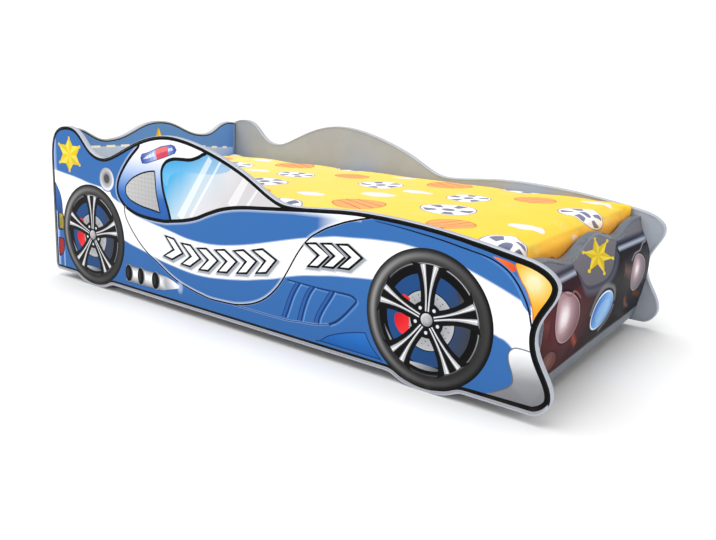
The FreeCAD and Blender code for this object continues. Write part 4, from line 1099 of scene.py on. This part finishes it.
def drawNose(outline, look):
    shift = np.array([look["shiftY"], look["shiftZ"]])
    art = Artwork(outline - shift,
                  lambda p: ramp(p, (0, 0), (845, 60), "#3A1418", "#5C2228", "#501D22", "#2C1418",
                                 "#1B171A", "#211E21", "#2E2E33", "#3C3D44"))
    for z in np.arange(40, 360, 8.0):
        art.guides.append([(x, z) for x in np.arange(-20, 880, 30.0)])
    # the pale upper field with its two slots, and the round field that drops in the middle
    field = smoothLine([(-20, 262), (60, 283), (130, 284), (250, 282)], 10)
    drop = smoothLine([(250, 282), (262, 276), (272, 262), (277, 248), (300, 236), (350, 229), (400, 227),
                       (440, 229), (480, 240), (520, 259), (548, 276), (570, 290)], 6)
    shelf = smoothLine([(570, 290), (640, 288), (760, 284), (880, 268)], 10)
    grey = join(field, drop, shelf, [(880, 420), (-40, 420)])
    art.glow(drop + np.array([0, -12]), 16, "#5B6274", 0.7)
    art.lay(grey, fromTo((0, 350), (0, 225), "#7C7C85", "#706D75", "#625F68"))
    art.lay(stroke(drop, 5), "#454854", 0.8)
    art.lay([(120, 276), (262, 276), (262, 250), (240, 246), (130, 246)], "#35232A")
    art.lay([(560, 278), (850, 276), (850, 254), (590, 250), (566, 262)], "#26232A")
    for a, b, width in (((132, 289), (254, 289), 10), ((575, 291), (845, 284), 11)):
        line = smoothLine([a, b], 12)
        art.glow(line, width, "#2E3346", 0.95)
        art.glow(line + np.array([0, -width - 2]), width * 0.75, "#AEB9CC", 0.95)
    # darker towards the foot
    art.lay([(-20, 0), (870, 0), (870, 160), (-20, 160)], "#0B0607",
            lambda p: 0.6 * np.clip((160 - p[:, 1]) / 105, 0, 1))
    # shading of the corner recess and arcs round the badge
    x, z, rx, rz = look["badge"]
    art.glow(smoothLine([(x - rx - 16, z + 8), (x - rx + 8, z + 44), (x - 10, z + rz + 16),
                         (x + rx - 10, z + 44), (x + rx + 14, z + 4)], 8), 11, "#8F8D90", 0.65)
    art.glow(smoothLine([(x + rx + 16, z - 6), (x + rx - 2, z - 40), (x + 20, z - rz - 14)], 8), 12,
             "#918A8C", 0.7)
    art.lay(ellipse(x, z, rx + 9, rz + 9), "#0A0A0C")
    art.lay(ellipse(x, z, rx + 3, rz + 3),
            fromTo((x - rx, z + rz), (x + rx, z - rz), "#FFFFFF", "#CFE2F6", "#5C7FB4"))
    art.lay(ellipse(x, z, rx - 2, rz - 2),
            fromTo((x - 60, z + 40), (x + 50, z - 46), "#2F66B8", "#5C96DC", "#93C2EC", "#4E86CE"))
    art.lay(ellipse(x + 6, z - 4, rx - 26, rz - 18), "#A9CFEC", 0.35)
    # head lamps, small lower lamps and warm streaks
    for lamp in look["lamps"]:
        (lx, lz), (lw, lh), tilt = lamp["place"], lamp["size"], lamp["tilt"]
        glint = (lx + lamp["glint"][0], lz + lamp["glint"][1])
        art.lay(ellipse(lx, lz, lw + 10, lh + 9, tilt), "#12090B", 0.6)
        art.lay(ellipse(lx, lz, lw + 3.5, lh + 3.5, tilt), "#C6A9AE", 0.7)
        art.lay(ellipse(lx, lz, lw, lh, tilt), outwards(*glint, lw + 22, *lamp["shades"]))
        for r in (12, 24, 40):
            art.guides.append(ellipse(*glint, r, r * 0.9))
    hood = smoothLine([(92, 246), (120, 254), (150, 252), (170, 243), (190, 238), (210, 243), (228, 236),
                       (246, 220)], 6)
    art.lay(stroke(hood, 4.5), "#8E6468", 0.85)
    hood = smoothLine([(650, 236), (690, 248), (740, 250), (780, 262), (815, 264)], 6)
    art.lay(stroke(hood, 4.5), "#8A8A90", 0.8)
    art.lay(ellipse(106, 102, 55, 28, -0.35), "#1C0B0D", 0.8)
    art.lay(ellipse(106, 102, 50, 24, -0.35), outwards(96, 106, 56, "#7A5C58", "#66413E", "#6E3A2E"))
    for a, b, width, colour in (((228, 132), (276, 96), 13, "#A84E36"),
                                ((622, 138), (672, 98), 12, "#8A4A26"),
                                ((640, 118), (700, 92), 8, "#6A5A58"),
                                ((706, 134), (800, 108), 12, "#6B3E26"),
                                ((584, 224), (650, 206), 22, "#6A5048"),
                                ((20, 214), (60, 196), 30, "#6A3634")):
        line = smoothLine([a, ((a[0] + b[0]) / 2 + 4, (a[1] + b[1]) / 2 - 4), b], 8)
        art.glow(line, width, colour, 0.8)
    # the star over the badge
    x, z, wide, high = look["star"]
    badge = star(x, z, wide, wide * 0.46, squash=high / wide)
    art.lay(badge + np.array([2, -2]), "#55541E", 0.5)
    art.lay(badge, fromTo((x - wide, z + 20), (x + wide, z - 20), "#E8CE30", "#DDBB28", "#E6D040"))
    facets(art, (x, z), badge, "#F4E460", "#C49C1A", 0.35)
    for tip in badge[::2]:
        art.lay(ellipse(*tip, 9.5, 4.4, count=12), "#E2C832")
    # the plain strip along the bottom
    foot = smoothLine([(-20, 96), (60, 74), (130, 62), (300, 64), (430, 66), (560, 66), (700, 62),
                       (860, 66)], 12)
    art.lay(join(foot, [(860, -20), (-20, -20)]), fromTo((0, 66), (0, 40), "#5E5E64", "#4A4A50"))
    return art, shift


outline = nodeOutline("bumper_print", (1, 0, 0), (1, 2))
bulgeHeights, bulgeReach = bulgeOf("bumper_print")
noseSheet, noseShift = drawNose(outline, noseArt)


def onBumper(p, inward=0.0):
    across, z = p + noseShift
    x = np.interp(z, bulgeHeights, bulgeReach) - inward
    return (x / 1000, across / 1000, z / 1000)


def behindBumper(p):
    return onBumper(p, noseArt["film"])


printedSheet("bumperPrint", noseSheet, onBumper, behindBumper, bumperInk, "bumper_print", curved=True)
print("prints drawn")


# edging and bumper: smooth copies of the CAD solids; the boards and fittings keep their CAD meshes and get
# finishes
def smoothCopy(node, name, material, angle=32):
    copy = bmesh.new()
    copy.from_mesh(cadNodes[node].data)
    bmesh.ops.remove_doubles(copy, verts=copy.verts, dist=2e-6)
    bmesh.ops.dissolve_degenerate(copy, edges=copy.edges, dist=1e-7)
    mesh = bpy.data.meshes.new(name)
    copy.to_mesh(mesh)
    copy.free()
    mesh.shade_smooth()
    mesh.set_sharp_from_angle(angle=math.radians(angle))
    piece = bpy.data.objects.new(name, mesh)
    scene.collection.objects.link(piece)
    mesh.materials.append(material)
    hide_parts(node)
    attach(piece, "bed_frame")
    return piece


smoothPieces = {
    "side_trim_right": ("edgingRight", greyEdging, "grey_edging"),
    "side_trim_left": ("edgingLeft", greyEdging, "grey_edging"),
    "headboard_trim": ("edgingHeadboard", greyEdging, "grey_edging"),
    "bumper_shell": ("bumperShell", bumperPlastic, "bumper_plastic"),
}
edgingLook = {
    "blackAbove": 0.055,      # the lip over the print is grey below this height
    "facing": 0.9,
}
blackLip = plasticFinish("blackLip", "#0B0B0D", "#101013", 0.34, 0.46, 700.0, 0.15)
for node, (name, material, slotName) in smoothPieces.items():
    piece = smoothCopy(node, name, material)
    if node.startswith("side_trim"):
        # the lip over the print is black, but for the part along the bottom
        piece.data.materials.append(blackLip)
        for face in piece.data.polygons:
            outward = face.normal.y * math.copysign(1, face.center.y)
            if outward > edgingLook["facing"] and face.center.z > edgingLook["blackAbove"]:
                face.material_index = 1

plainFinishes = {
    "side_panel": whiteBoard, "headboard": whiteBoard, "footboard": whiteBoard,
    "support_rail": pineWood, "slat_ribbon": slatWebbing, "ribbon_staples": zincSteel,
    "slat_": beechWood, "mattress_core": foamFinish, "cam_caps": whitePlastic,
    "cam_housings": zincSteel, "cam_bolts": zincSteel, "wooden_dowels": beechWood,
    "rail_screws": zincSteel, "bumper_screws": zincSteel,
}
for node, piece in cadNodes.items():
    for start, material in plainFinishes.items():
        if node.startswith(start):
            piece.data.materials.clear()
            piece.data.materials.append(material)
            break
print("edging, boards and fittings finished")

# the mattress in its fitted cover
mattressLook = {
    "cloth": "#F1C82C",
    "cloth2": "#F3CD37",
    "clothFar": "#F1D976",
    # the deeper gold that the cover's sides are multiplied by: painted shade
    "shade": "#F7C65A",
    "startSmaller": 0.003,
    "cell": 0.012,
    "cap": 0.008,             # the furthest that a point swells
    "frames": 18,
    "edgeRadius": 0.013,
    "overEnds": 0.006,        # how far it may bulge past its solid
    "overSides": 0.002,
    "fold": 0.0038,
    "foldLean": 3,
    "foldsPerMetre": 24,
    "cornerReach": 0.12,
    "gather": 0.0016,
    "gathersPerMetre": 62,
    "gatherFrom": 0.72,       # parts of the height, from the top down
    "tuckFrom": 0.8,
    "wallTurn": 12,
    "topTurn": 14,
    "ripple": 0.0022,
    "rippleWaves": (23, 17, 9),
}
clothSettings = {
    "quality": 6,
    "mass": 0.25,
    "tension_stiffness": 18,
    "compression_stiffness": 18,
    "bending_stiffness": 0.4,
    "use_pressure": True,
    "uniform_pressure_force": 1.2,
    "shrink_min": -0.016,     # how much wider the cover is cut than the foam
}


def roundedBlock(name, low, high, edge, cell):
    # a closed block of even cells whose corners and edges are turned to one radius
    lines = []
    for axis in range(3):
        near = edge * np.array([0, 0.35, 0.7, 1.0])
        inner = np.linspace(low[axis] + edge, high[axis] - edge,
                            2 + int((high[axis] - low[axis] - 2 * edge) / cell))
        lines.append(np.concatenate([low[axis] + near[:-1], inner, (high[axis] - near[:-1])[::-1]]))
    found = {}
    verts = []

    def corner(*spot):
        if spot not in found:
            found[spot] = len(verts)
            p = np.array([lines[a][spot[a]] for a in range(3)])
            core = np.clip(p, np.array(low) + edge, np.array(high) - edge)
            out = p - core
            verts.append(core + edge * out / max(np.linalg.norm(out), tiny))
        return found[spot]

    faces = []
    for axis in range(3):
        u, v = (axis + 1) % 3, (axis + 2) % 3
        for level in (0, len(lines[axis]) - 1):
            for i in range(len(lines[u]) - 1):
                for j in range(len(lines[v]) - 1):
                    ring = []
                    for di, dj in ((0, 0), (1, 0), (1, 1), (0, 1)):
                        spot = [0, 0, 0]
                        spot[axis], spot[u], spot[v] = level, i + di, j + dj
                        ring.append(corner(*spot))
                    faces.append(ring if level else ring[::-1])
    return linkMesh(name, verts, faces, True)


def turnsPast(away, steepness):
    # 0 over a face and 1 at its edge, where it turns to the next one
    return np.clip(np.abs(away) * steepness - (steepness - 1), 0, 1)


def coverCreases(place, low, high, look):
    # soft upright folds that fan out from the corners, and a gathered hem
    middle = (np.array(low) + np.array(high)) / 2
    half = (np.array(high) - np.array(low)) / 2
    away = (place - middle) / half
    across = turnsPast(away, look["wallTurn"]) * np.sign(away)
    wall = np.clip(np.abs(across[:, 0]) + np.abs(across[:, 1]), 0, 1)
    fromCorner = np.hypot(*(half - np.abs(place - middle))[:, :2].T)
    run = (place[:, 0] + place[:, 1]) * 2 * math.pi
    depth = (high.z - place[:, 2]) / (high.z - low.z)
    gathered, tucked = [np.clip((depth - look[label]) / (1 - look[label]), 0, 1)
                        for label in ("gatherFrom", "tuckFrom")]
    fold = np.sin(run * look["foldsPerMetre"] + look["foldLean"] * depth)
    fold = fold * np.exp(-fromCorner / look["cornerReach"]) * look["fold"]
    hem = np.sin(run * look["gathersPerMetre"]) * gathered
    push = (fold + (hem - tucked) * look["gather"]) * wall
    a, b, c = look["rippleWaves"]
    x, y = place[:, 0], place[:, 1]
    ripple = np.sin(x * a + 4 * np.sin(y * c)) * np.sin(y * b + 2 * x) * look["ripple"]
    top = np.clip(away[:, 2] * look["topTurn"] - (look["topTurn"] - 1), 0, 1)
    return np.stack([across[:, 0] * push, across[:, 1] * push, top * ripple], 1)


def swollenCover(piece, look, start):
    # the cloth blown up a little by the foam inside, no point moving further than the cap
    cloth = piece.modifiers.new("cover", "CLOTH")
    for label, value in clothSettings.items():
        setattr(cloth.settings, label, value)
    cloth.settings.effector_weights.gravity = 0
    cloth.collision_settings.use_collision = False
    cloth.point_cache.frame_start = 1
    cloth.point_cache.frame_end = look["frames"]
    scene.frame_start = 1
    scene.frame_end = look["frames"]
    for number in range(1, look["frames"] + 1):
        scene.frame_set(number)
    move = readPoints(piece, live=True) - start
    piece.modifiers.clear()
    scene.frame_set(1)
    far = np.linalg.norm(move, axis=1, keepdims=True)
    return start + move * np.minimum(1, look["cap"] / np.maximum(far, tiny))


def coverMattress(look):
    low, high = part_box("mattress_cover")
    inset = Vector([look["startSmaller"]] * 3)
    piece = roundedBlock("mattressCover", low + inset, high - inset, look["edgeRadius"], look["cell"])
    place = readPoints(piece)
    place = swollenCover(piece, look, place)
    place += coverCreases(place, low, high, look)
    # it rests flat on the slats and keeps clear of the boards
    place[:, 2] = np.maximum(place[:, 2], low.z)
    place[:, 1] = np.clip(place[:, 1], low.y - look["overSides"], high.y + look["overSides"])
    place[:, 0] = np.clip(place[:, 0], low.x - 0.001, high.x + look["overEnds"])
    piece.data.vertices.foreach_set("co", place.astype(np.float32).ravel())
    piece.data.update()
    finer = piece.modifiers.new("finer", "SUBSURF")
    finer.levels = finer.render_levels = 1
    bakeDown(piece)
    piece.data.shade_smooth()
    return piece, low, high


def bakeDown(piece):
    # applies the live modifiers and leaves a plain mesh
    graph = bpy.context.evaluated_depsgraph_get()
    mesh = bpy.data.meshes.new_from_object(piece.evaluated_get(graph), depsgraph=graph)
    piece.modifiers.clear()
    old = piece.data
    piece.data = mesh
    bpy.data.meshes.remove(old)
    mesh.name = piece.name


def readPoints(piece, live=False):
    source = piece
    if live:
        source = piece.evaluated_get(bpy.context.evaluated_depsgraph_get())
    values = np.empty(len(source.data.vertices) * 3, np.float32)
    source.data.vertices.foreach_get("co", values)
    return values.reshape(-1, 3).astype(float)


unrollLook = {
    "rim": 0.004,             # how far below the top the cloth starts to fold down
    "corner": 0.06,
    "blend": 0.05,
}


def unrollCover(piece, low, high, look):
    # a flat place for each point of the cover: the top as it is, the sides folded out round it
    place = readPoints(piece)
    drop = np.maximum(high.z - place[:, 2] - look["rim"], 0)
    flat = place[:, :2].copy()
    sides = []
    for axis in range(2):
        toEdge = np.minimum(high[axis] - place[:, axis], place[:, axis] - low[axis])
        sides.append(np.clip((look["corner"] - toEdge) / look["blend"], 0, 1))
    total = np.maximum(sides[0] + sides[1], 1e-6)
    for axis in range(2):
        flat[:, axis] += np.sign(place[:, axis]) * drop * sides[axis] / total
    layer = piece.data.uv_layers.new(name="clothFlat")
    corners = np.empty(len(piece.data.loops), np.int32)
    piece.data.loops.foreach_get("vertex_index", corners)
    layer.data.foreach_set("uv", flat[corners].astype(np.float32).ravel())


def makeMotifGroup():
    # one round print: tells a place's distance from its centre and its turn about it
    takes = {"Place": (0, 0, 0), "Centre": (0, 0, 0), "Radius": 0.06, "Turn": 0.0}
    group, takes, gives = newGroup("printSpot", takes, ["Inside", "Rim", "Out", "Angle"])
    ins = {0: takes["Place"], 1: takes["Centre"]}
    away = addNode(group, "ShaderNodeVectorMath", ins, operation="SUBTRACT").outputs[0]
    far = addNode(group, "ShaderNodeVectorMath", {0: away}, operation="LENGTH").outputs["Value"]
    out = mathNode(group, "DIVIDE", far, takes["Radius"])
    axes = axesOf(group, away)
    angle = mathNode(group, "ARCTAN2", axes["Y"], axes["X"])
    group.links.new(rangeNode(group, out, 0.98, 1.0, 1, 0), gives["Inside"])
    group.links.new(rangeNode(group, offBy(group, out, 0.975), 0.02, 0.035, 1, 0), gives["Rim"])
    group.links.new(out, gives["Out"])
    group.links.new(mathNode(group, "ADD", angle, takes["Turn"]), gives["Angle"])
    return group


clothPrints = {
    "ring": "#D6D98C",
    "cloud": "#E6DEE6",
    "sun": "#F0A25C",
    "sunLine": "#B5562A",
    "sunRim": "#C86A34",
    "wheel": "#F3F4F8",
    "wheelDark": "#6E7390",
    "wheelRim": "#8A8EA6",
    "repeat": (0.66, 0.50),   # the size of cloth after which the print starts again
    "wheels": [(0.095, 0.11, 0.074, 0.2), (0.47, 0.375, 0.076, 1.1), (0.42, 0.085, 0.066, 0.7)],
    "suns": [(0.255, 0.27, 0.074, 0.4), (0.575, 0.20, 0.060, 2.0)],
    "clouds": [(0.20, 0.44, 0.034), (0.262, 0.060, 0.030), (0.06, 0.30, 0.028)],
    "rings": [(0.34, 0.42, 0.034), (0.15, 0.205, 0.026), (0.46, 0.25, 0.030), (0.56, 0.055, 0.032),
              (0.10, 0.42, 0.026), (0.36, 0.165, 0.026)],
}


def coverFinish(look, prints):
    # a woven cotton cover with a print of wheels, striped discs, clouds and rings, and painted shade down
    # its sides
    finish = Finish("mattressCloth", roughness=0.85, shine=0.15)
    finish.shader.inputs["Sheen Weight"].default_value = 0.15
    tree = finish.tree
    flat = addNode(tree, "ShaderNodeUVMap", uv_map="clothFlat").outputs["UV"]
    ins = {0: flat, 1: (*prints["repeat"], 1), 2: (0, 0, 0)}
    wrap = addNode(tree, "ShaderNodeVectorMath", ins, operation="WRAP").outputs[0]
    spot = makeMotifGroup()

    def place(x, y, radius, turn=0.0):
        return finish.group(spot, wrap, Centre=(x, y, 0), Radius=radius, Turn=turn)

    weave = finish.group(threadWeave, flat, Threads=3400)
    drift = finish.range(noiseAt(tree, flat, 3.0, 3), 0.35, 0.7)
    colour = finish.mix(drift, look["cloth"], look["cloth2"])
    axes = axesOf(tree, finish.place)
    colour = finish.mix(finish.range(axes["X"], 0.75, -0.7), colour, look["clothFar"])
    for spec in prints["rings"]:
        ring = place(*spec)
        wave = mathNode(tree, "SINE", finish.times(ring["Out"], 14.0))
        mask = finish.times(ring["Inside"], finish.range(wave, 0.2, 0.5))
        colour = finish.mix(finish.times(mask, 0.5), colour, prints["ring"])
    for x, y, radius in prints["clouds"]:
        for dx, dy, part in ((0, 0, 1.0), (0.9, 0.1, 0.75), (-0.85, -0.1, 0.7)):
            puff = place(x + dx * radius, y + dy * radius, radius * part)
            colour = finish.mix(puff["Inside"], colour, prints["cloud"])
    for spec in prints["suns"]:
        disc = place(*spec)
        colour = finish.mix(disc["Inside"], colour, prints["sun"])
        bend = finish.times(mathNode(tree, "SINE", disc["Angle"]), disc["Out"])
        for level in (-0.45, 0.0, 0.45):
            line = finish.range(offBy(tree, bend, level), 0.02, 0.045, 1, 0)
            colour = finish.mix(finish.times(line, disc["Inside"]), colour, prints["sunLine"])
        colour = finish.mix(disc["Rim"], colour, prints["sunRim"])
    for spec in prints["wheels"]:
        wheel = place(*spec)
        colour = finish.mix(wheel["Inside"], colour, prints["wheel"])
        five = mathNode(tree, "COSINE", finish.times(wheel["Angle"], 5.0))
        ring = finish.range(offBy(tree, wheel["Out"], 0.66), 0.2, 0.24, 1, 0)
        window = finish.times(finish.range(five, 0.15, 0.3), ring)
        centre = finish.range(wheel["Out"], 0.22, 0.25, 1, 0)
        colour = finish.mix(mathNode(tree, "MAXIMUM", window, centre), colour, prints["wheelDark"])
        colour = finish.mix(wheel["Rim"], colour, prints["wheelRim"])
    # painted shade: from just below the top edge downwards the cloth is multiplied towards a deeper gold
    lower = finish.range(axes["Z"], 0.366, 0.335, 0, 0.85)
    colour = finish.mix(lower, colour, look["shade"], "MULTIPLY")
    finish.colour(finish.mix(finish.times(weave["Fuzz"], 0.12), colour, "#E0A92C", "MULTIPLY"))
    finish.bump(weave["Height"], 0.0004, 0.5)
    return finish.material


stitchLook = {
    "Stitch Length": 0.0034,  # the names of these four are the tree's inputs
    "Thickness": 0.0009,
    "Pitch": 0.0052,
    "Seed": 7,
    "hemHeight": 0.022,
    "hemGap": 0.006,          # between the hem's two rows
    "seamFoot": 0.03,
    "seamHead": 0.012,
    "hemSteps": 160,
    "seamSteps": 24,
    "proud": 0.2,             # how far the rows stand off the cloth, in thicknesses
}


def seamLines(cover, low, high, look):
    # rows for the thread: twice round the hem and up each corner, laid on the cloth
    cloth = BVHTree.FromObject(cover, bpy.context.evaluated_depsgraph_get())
    rows = []
    for up in (0.0, look["hemGap"]):
        height = low.z + look["hemHeight"] + up
        loop = [Vector((x, y, height)) for x, y in (
            (low.x, low.y), (high.x, low.y), (high.x, high.y), (low.x, high.y))]
        steps = np.linspace(0, 1, look["hemSteps"], endpoint=False)
        rows.append(([a.lerp(b, t) for a, b in zip(loop, loop[1:] + loop[:1]) for t in steps], True))
    heights = np.linspace(low.z + look["seamFoot"], high.z - look["seamHead"], look["seamSteps"])
    for x in (low.x, high.x):
        for y in (low.y, high.y):
            rows.append(([Vector((x, y, z)) for z in heights], False))
    verts = []
    edges = []
    for row, closed in rows:
        first = len(verts)
        for p in row:
            spot = cloth.find_nearest(p)
            verts.append(spot[0] + spot[1] * look["Thickness"] * look["proud"])
        edges += [(i, i + 1) for i in range(first, len(verts) - 1)]
        if closed:
            edges.append((len(verts) - 1, first))
    mesh = bpy.data.meshes.new("seamRows")
    mesh.from_pydata(verts, edges, [])
    return mesh


def stitchTree(material):
    # a short thread set down again and again along every row
    tree = bpy.data.node_groups.new("stitchRows", "GeometryNodeTree")
    tree.interface.new_socket("Geometry", in_out="INPUT", socket_type="NodeSocketGeometry")
    tree.interface.new_socket("Geometry", in_out="OUTPUT", socket_type="NodeSocketGeometry")
    sockets = {}
    for label, value in (("Stitch Length", 0.003), ("Thickness", 0.001), ("Pitch", 0.005), ("Seed", 7)):
        socket = tree.interface.new_socket(label, in_out="INPUT", socket_type=socketKind(value))
        socket.default_value = value
        sockets[label] = socket.identifier
    takes = tree.nodes.new("NodeGroupInput").outputs
    rows = addNode(tree, "GeometryNodeMeshToCurve", {"Mesh": takes["Geometry"]}).outputs["Curve"]
    ins = {"Curve": rows, "Length": takes["Pitch"]}
    spaced = addNode(tree, "GeometryNodeCurveToPoints", ins, mode="LENGTH").outputs
    ins = {"Segments": 6, "Rings": 5, "Radius": 0.5}
    thread = addNode(tree, "GeometryNodeMeshUVSphere", ins).outputs["Mesh"]
    ins = {2: 0.92, 3: 1.08, "Seed": takes["Seed"]}
    longer = addNode(tree, "FunctionNodeRandomValue", ins, data_type="FLOAT").outputs[1]
    tall = times(tree, takes["Stitch Length"], longer)
    ins = {"X": takes["Thickness"], "Y": takes["Thickness"], "Z": tall}
    size = addNode(tree, "ShaderNodeCombineXYZ", ins).outputs[0]
    ins = {"Points": spaced["Points"], "Instance": thread, "Rotation": spaced["Rotation"], "Scale": size}
    placed = addNode(tree, "GeometryNodeInstanceOnPoints", ins).outputs["Instances"]
    real = addNode(tree, "GeometryNodeRealizeInstances", {"Geometry": placed}).outputs["Geometry"]
    paint = addNode(tree, "GeometryNodeSetMaterial", {"Geometry": real, "Material": material})
    addNode(tree, "NodeGroupOutput", {"Geometry": paint.outputs["Geometry"]})
    return tree, sockets


def sewCover(cover, low, high, look, material):
    tree, sockets = stitchTree(material)
    piece = bpy.data.objects.new("coverStitches", seamLines(cover, low, high, look))
    scene.collection.objects.link(piece)
    rows = piece.modifiers.new("rows", "NODES")
    rows.node_group = tree
    for label, socket in sockets.items():
        rows[socket] = look[label]
    bakeDown(piece)
    piece.data.shade_smooth()
    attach(piece, "mattress")
    print("stitches:", len(piece.data.polygons), "faces")


mattressCloth = coverFinish(mattressLook, clothPrints)
cover, coverLow, coverHigh = coverMattress(mattressLook)
unrollCover(cover, coverLow, coverHigh, unrollLook)
cover.data.materials.append(mattressCloth)
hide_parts("mattress_cover", "mattress_core")
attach(cover, "mattress")
sewCover(cover, coverLow, coverHigh, stitchLook, threadFinish())
print("mattress covered")

# floor
floor = linkMesh("floor", [(-9, -9, 0), (9, -9, 0), (9, 9, 0), (-9, 9, 0)], [(0, 1, 2, 3)])
floorFinish = Finish("paleFloor", roughness=0.9, shine=0.0)
cloud = noiseAt(floorFinish.tree, floorFinish.place, 2.0)
floorFinish.colour(floorFinish.mix(cloud, (0.79, 0.79, 0.79, 1), (0.81, 0.81, 0.81, 1)))
floor.data.materials.append(floorFinish.material)
floor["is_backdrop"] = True

low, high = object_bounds()
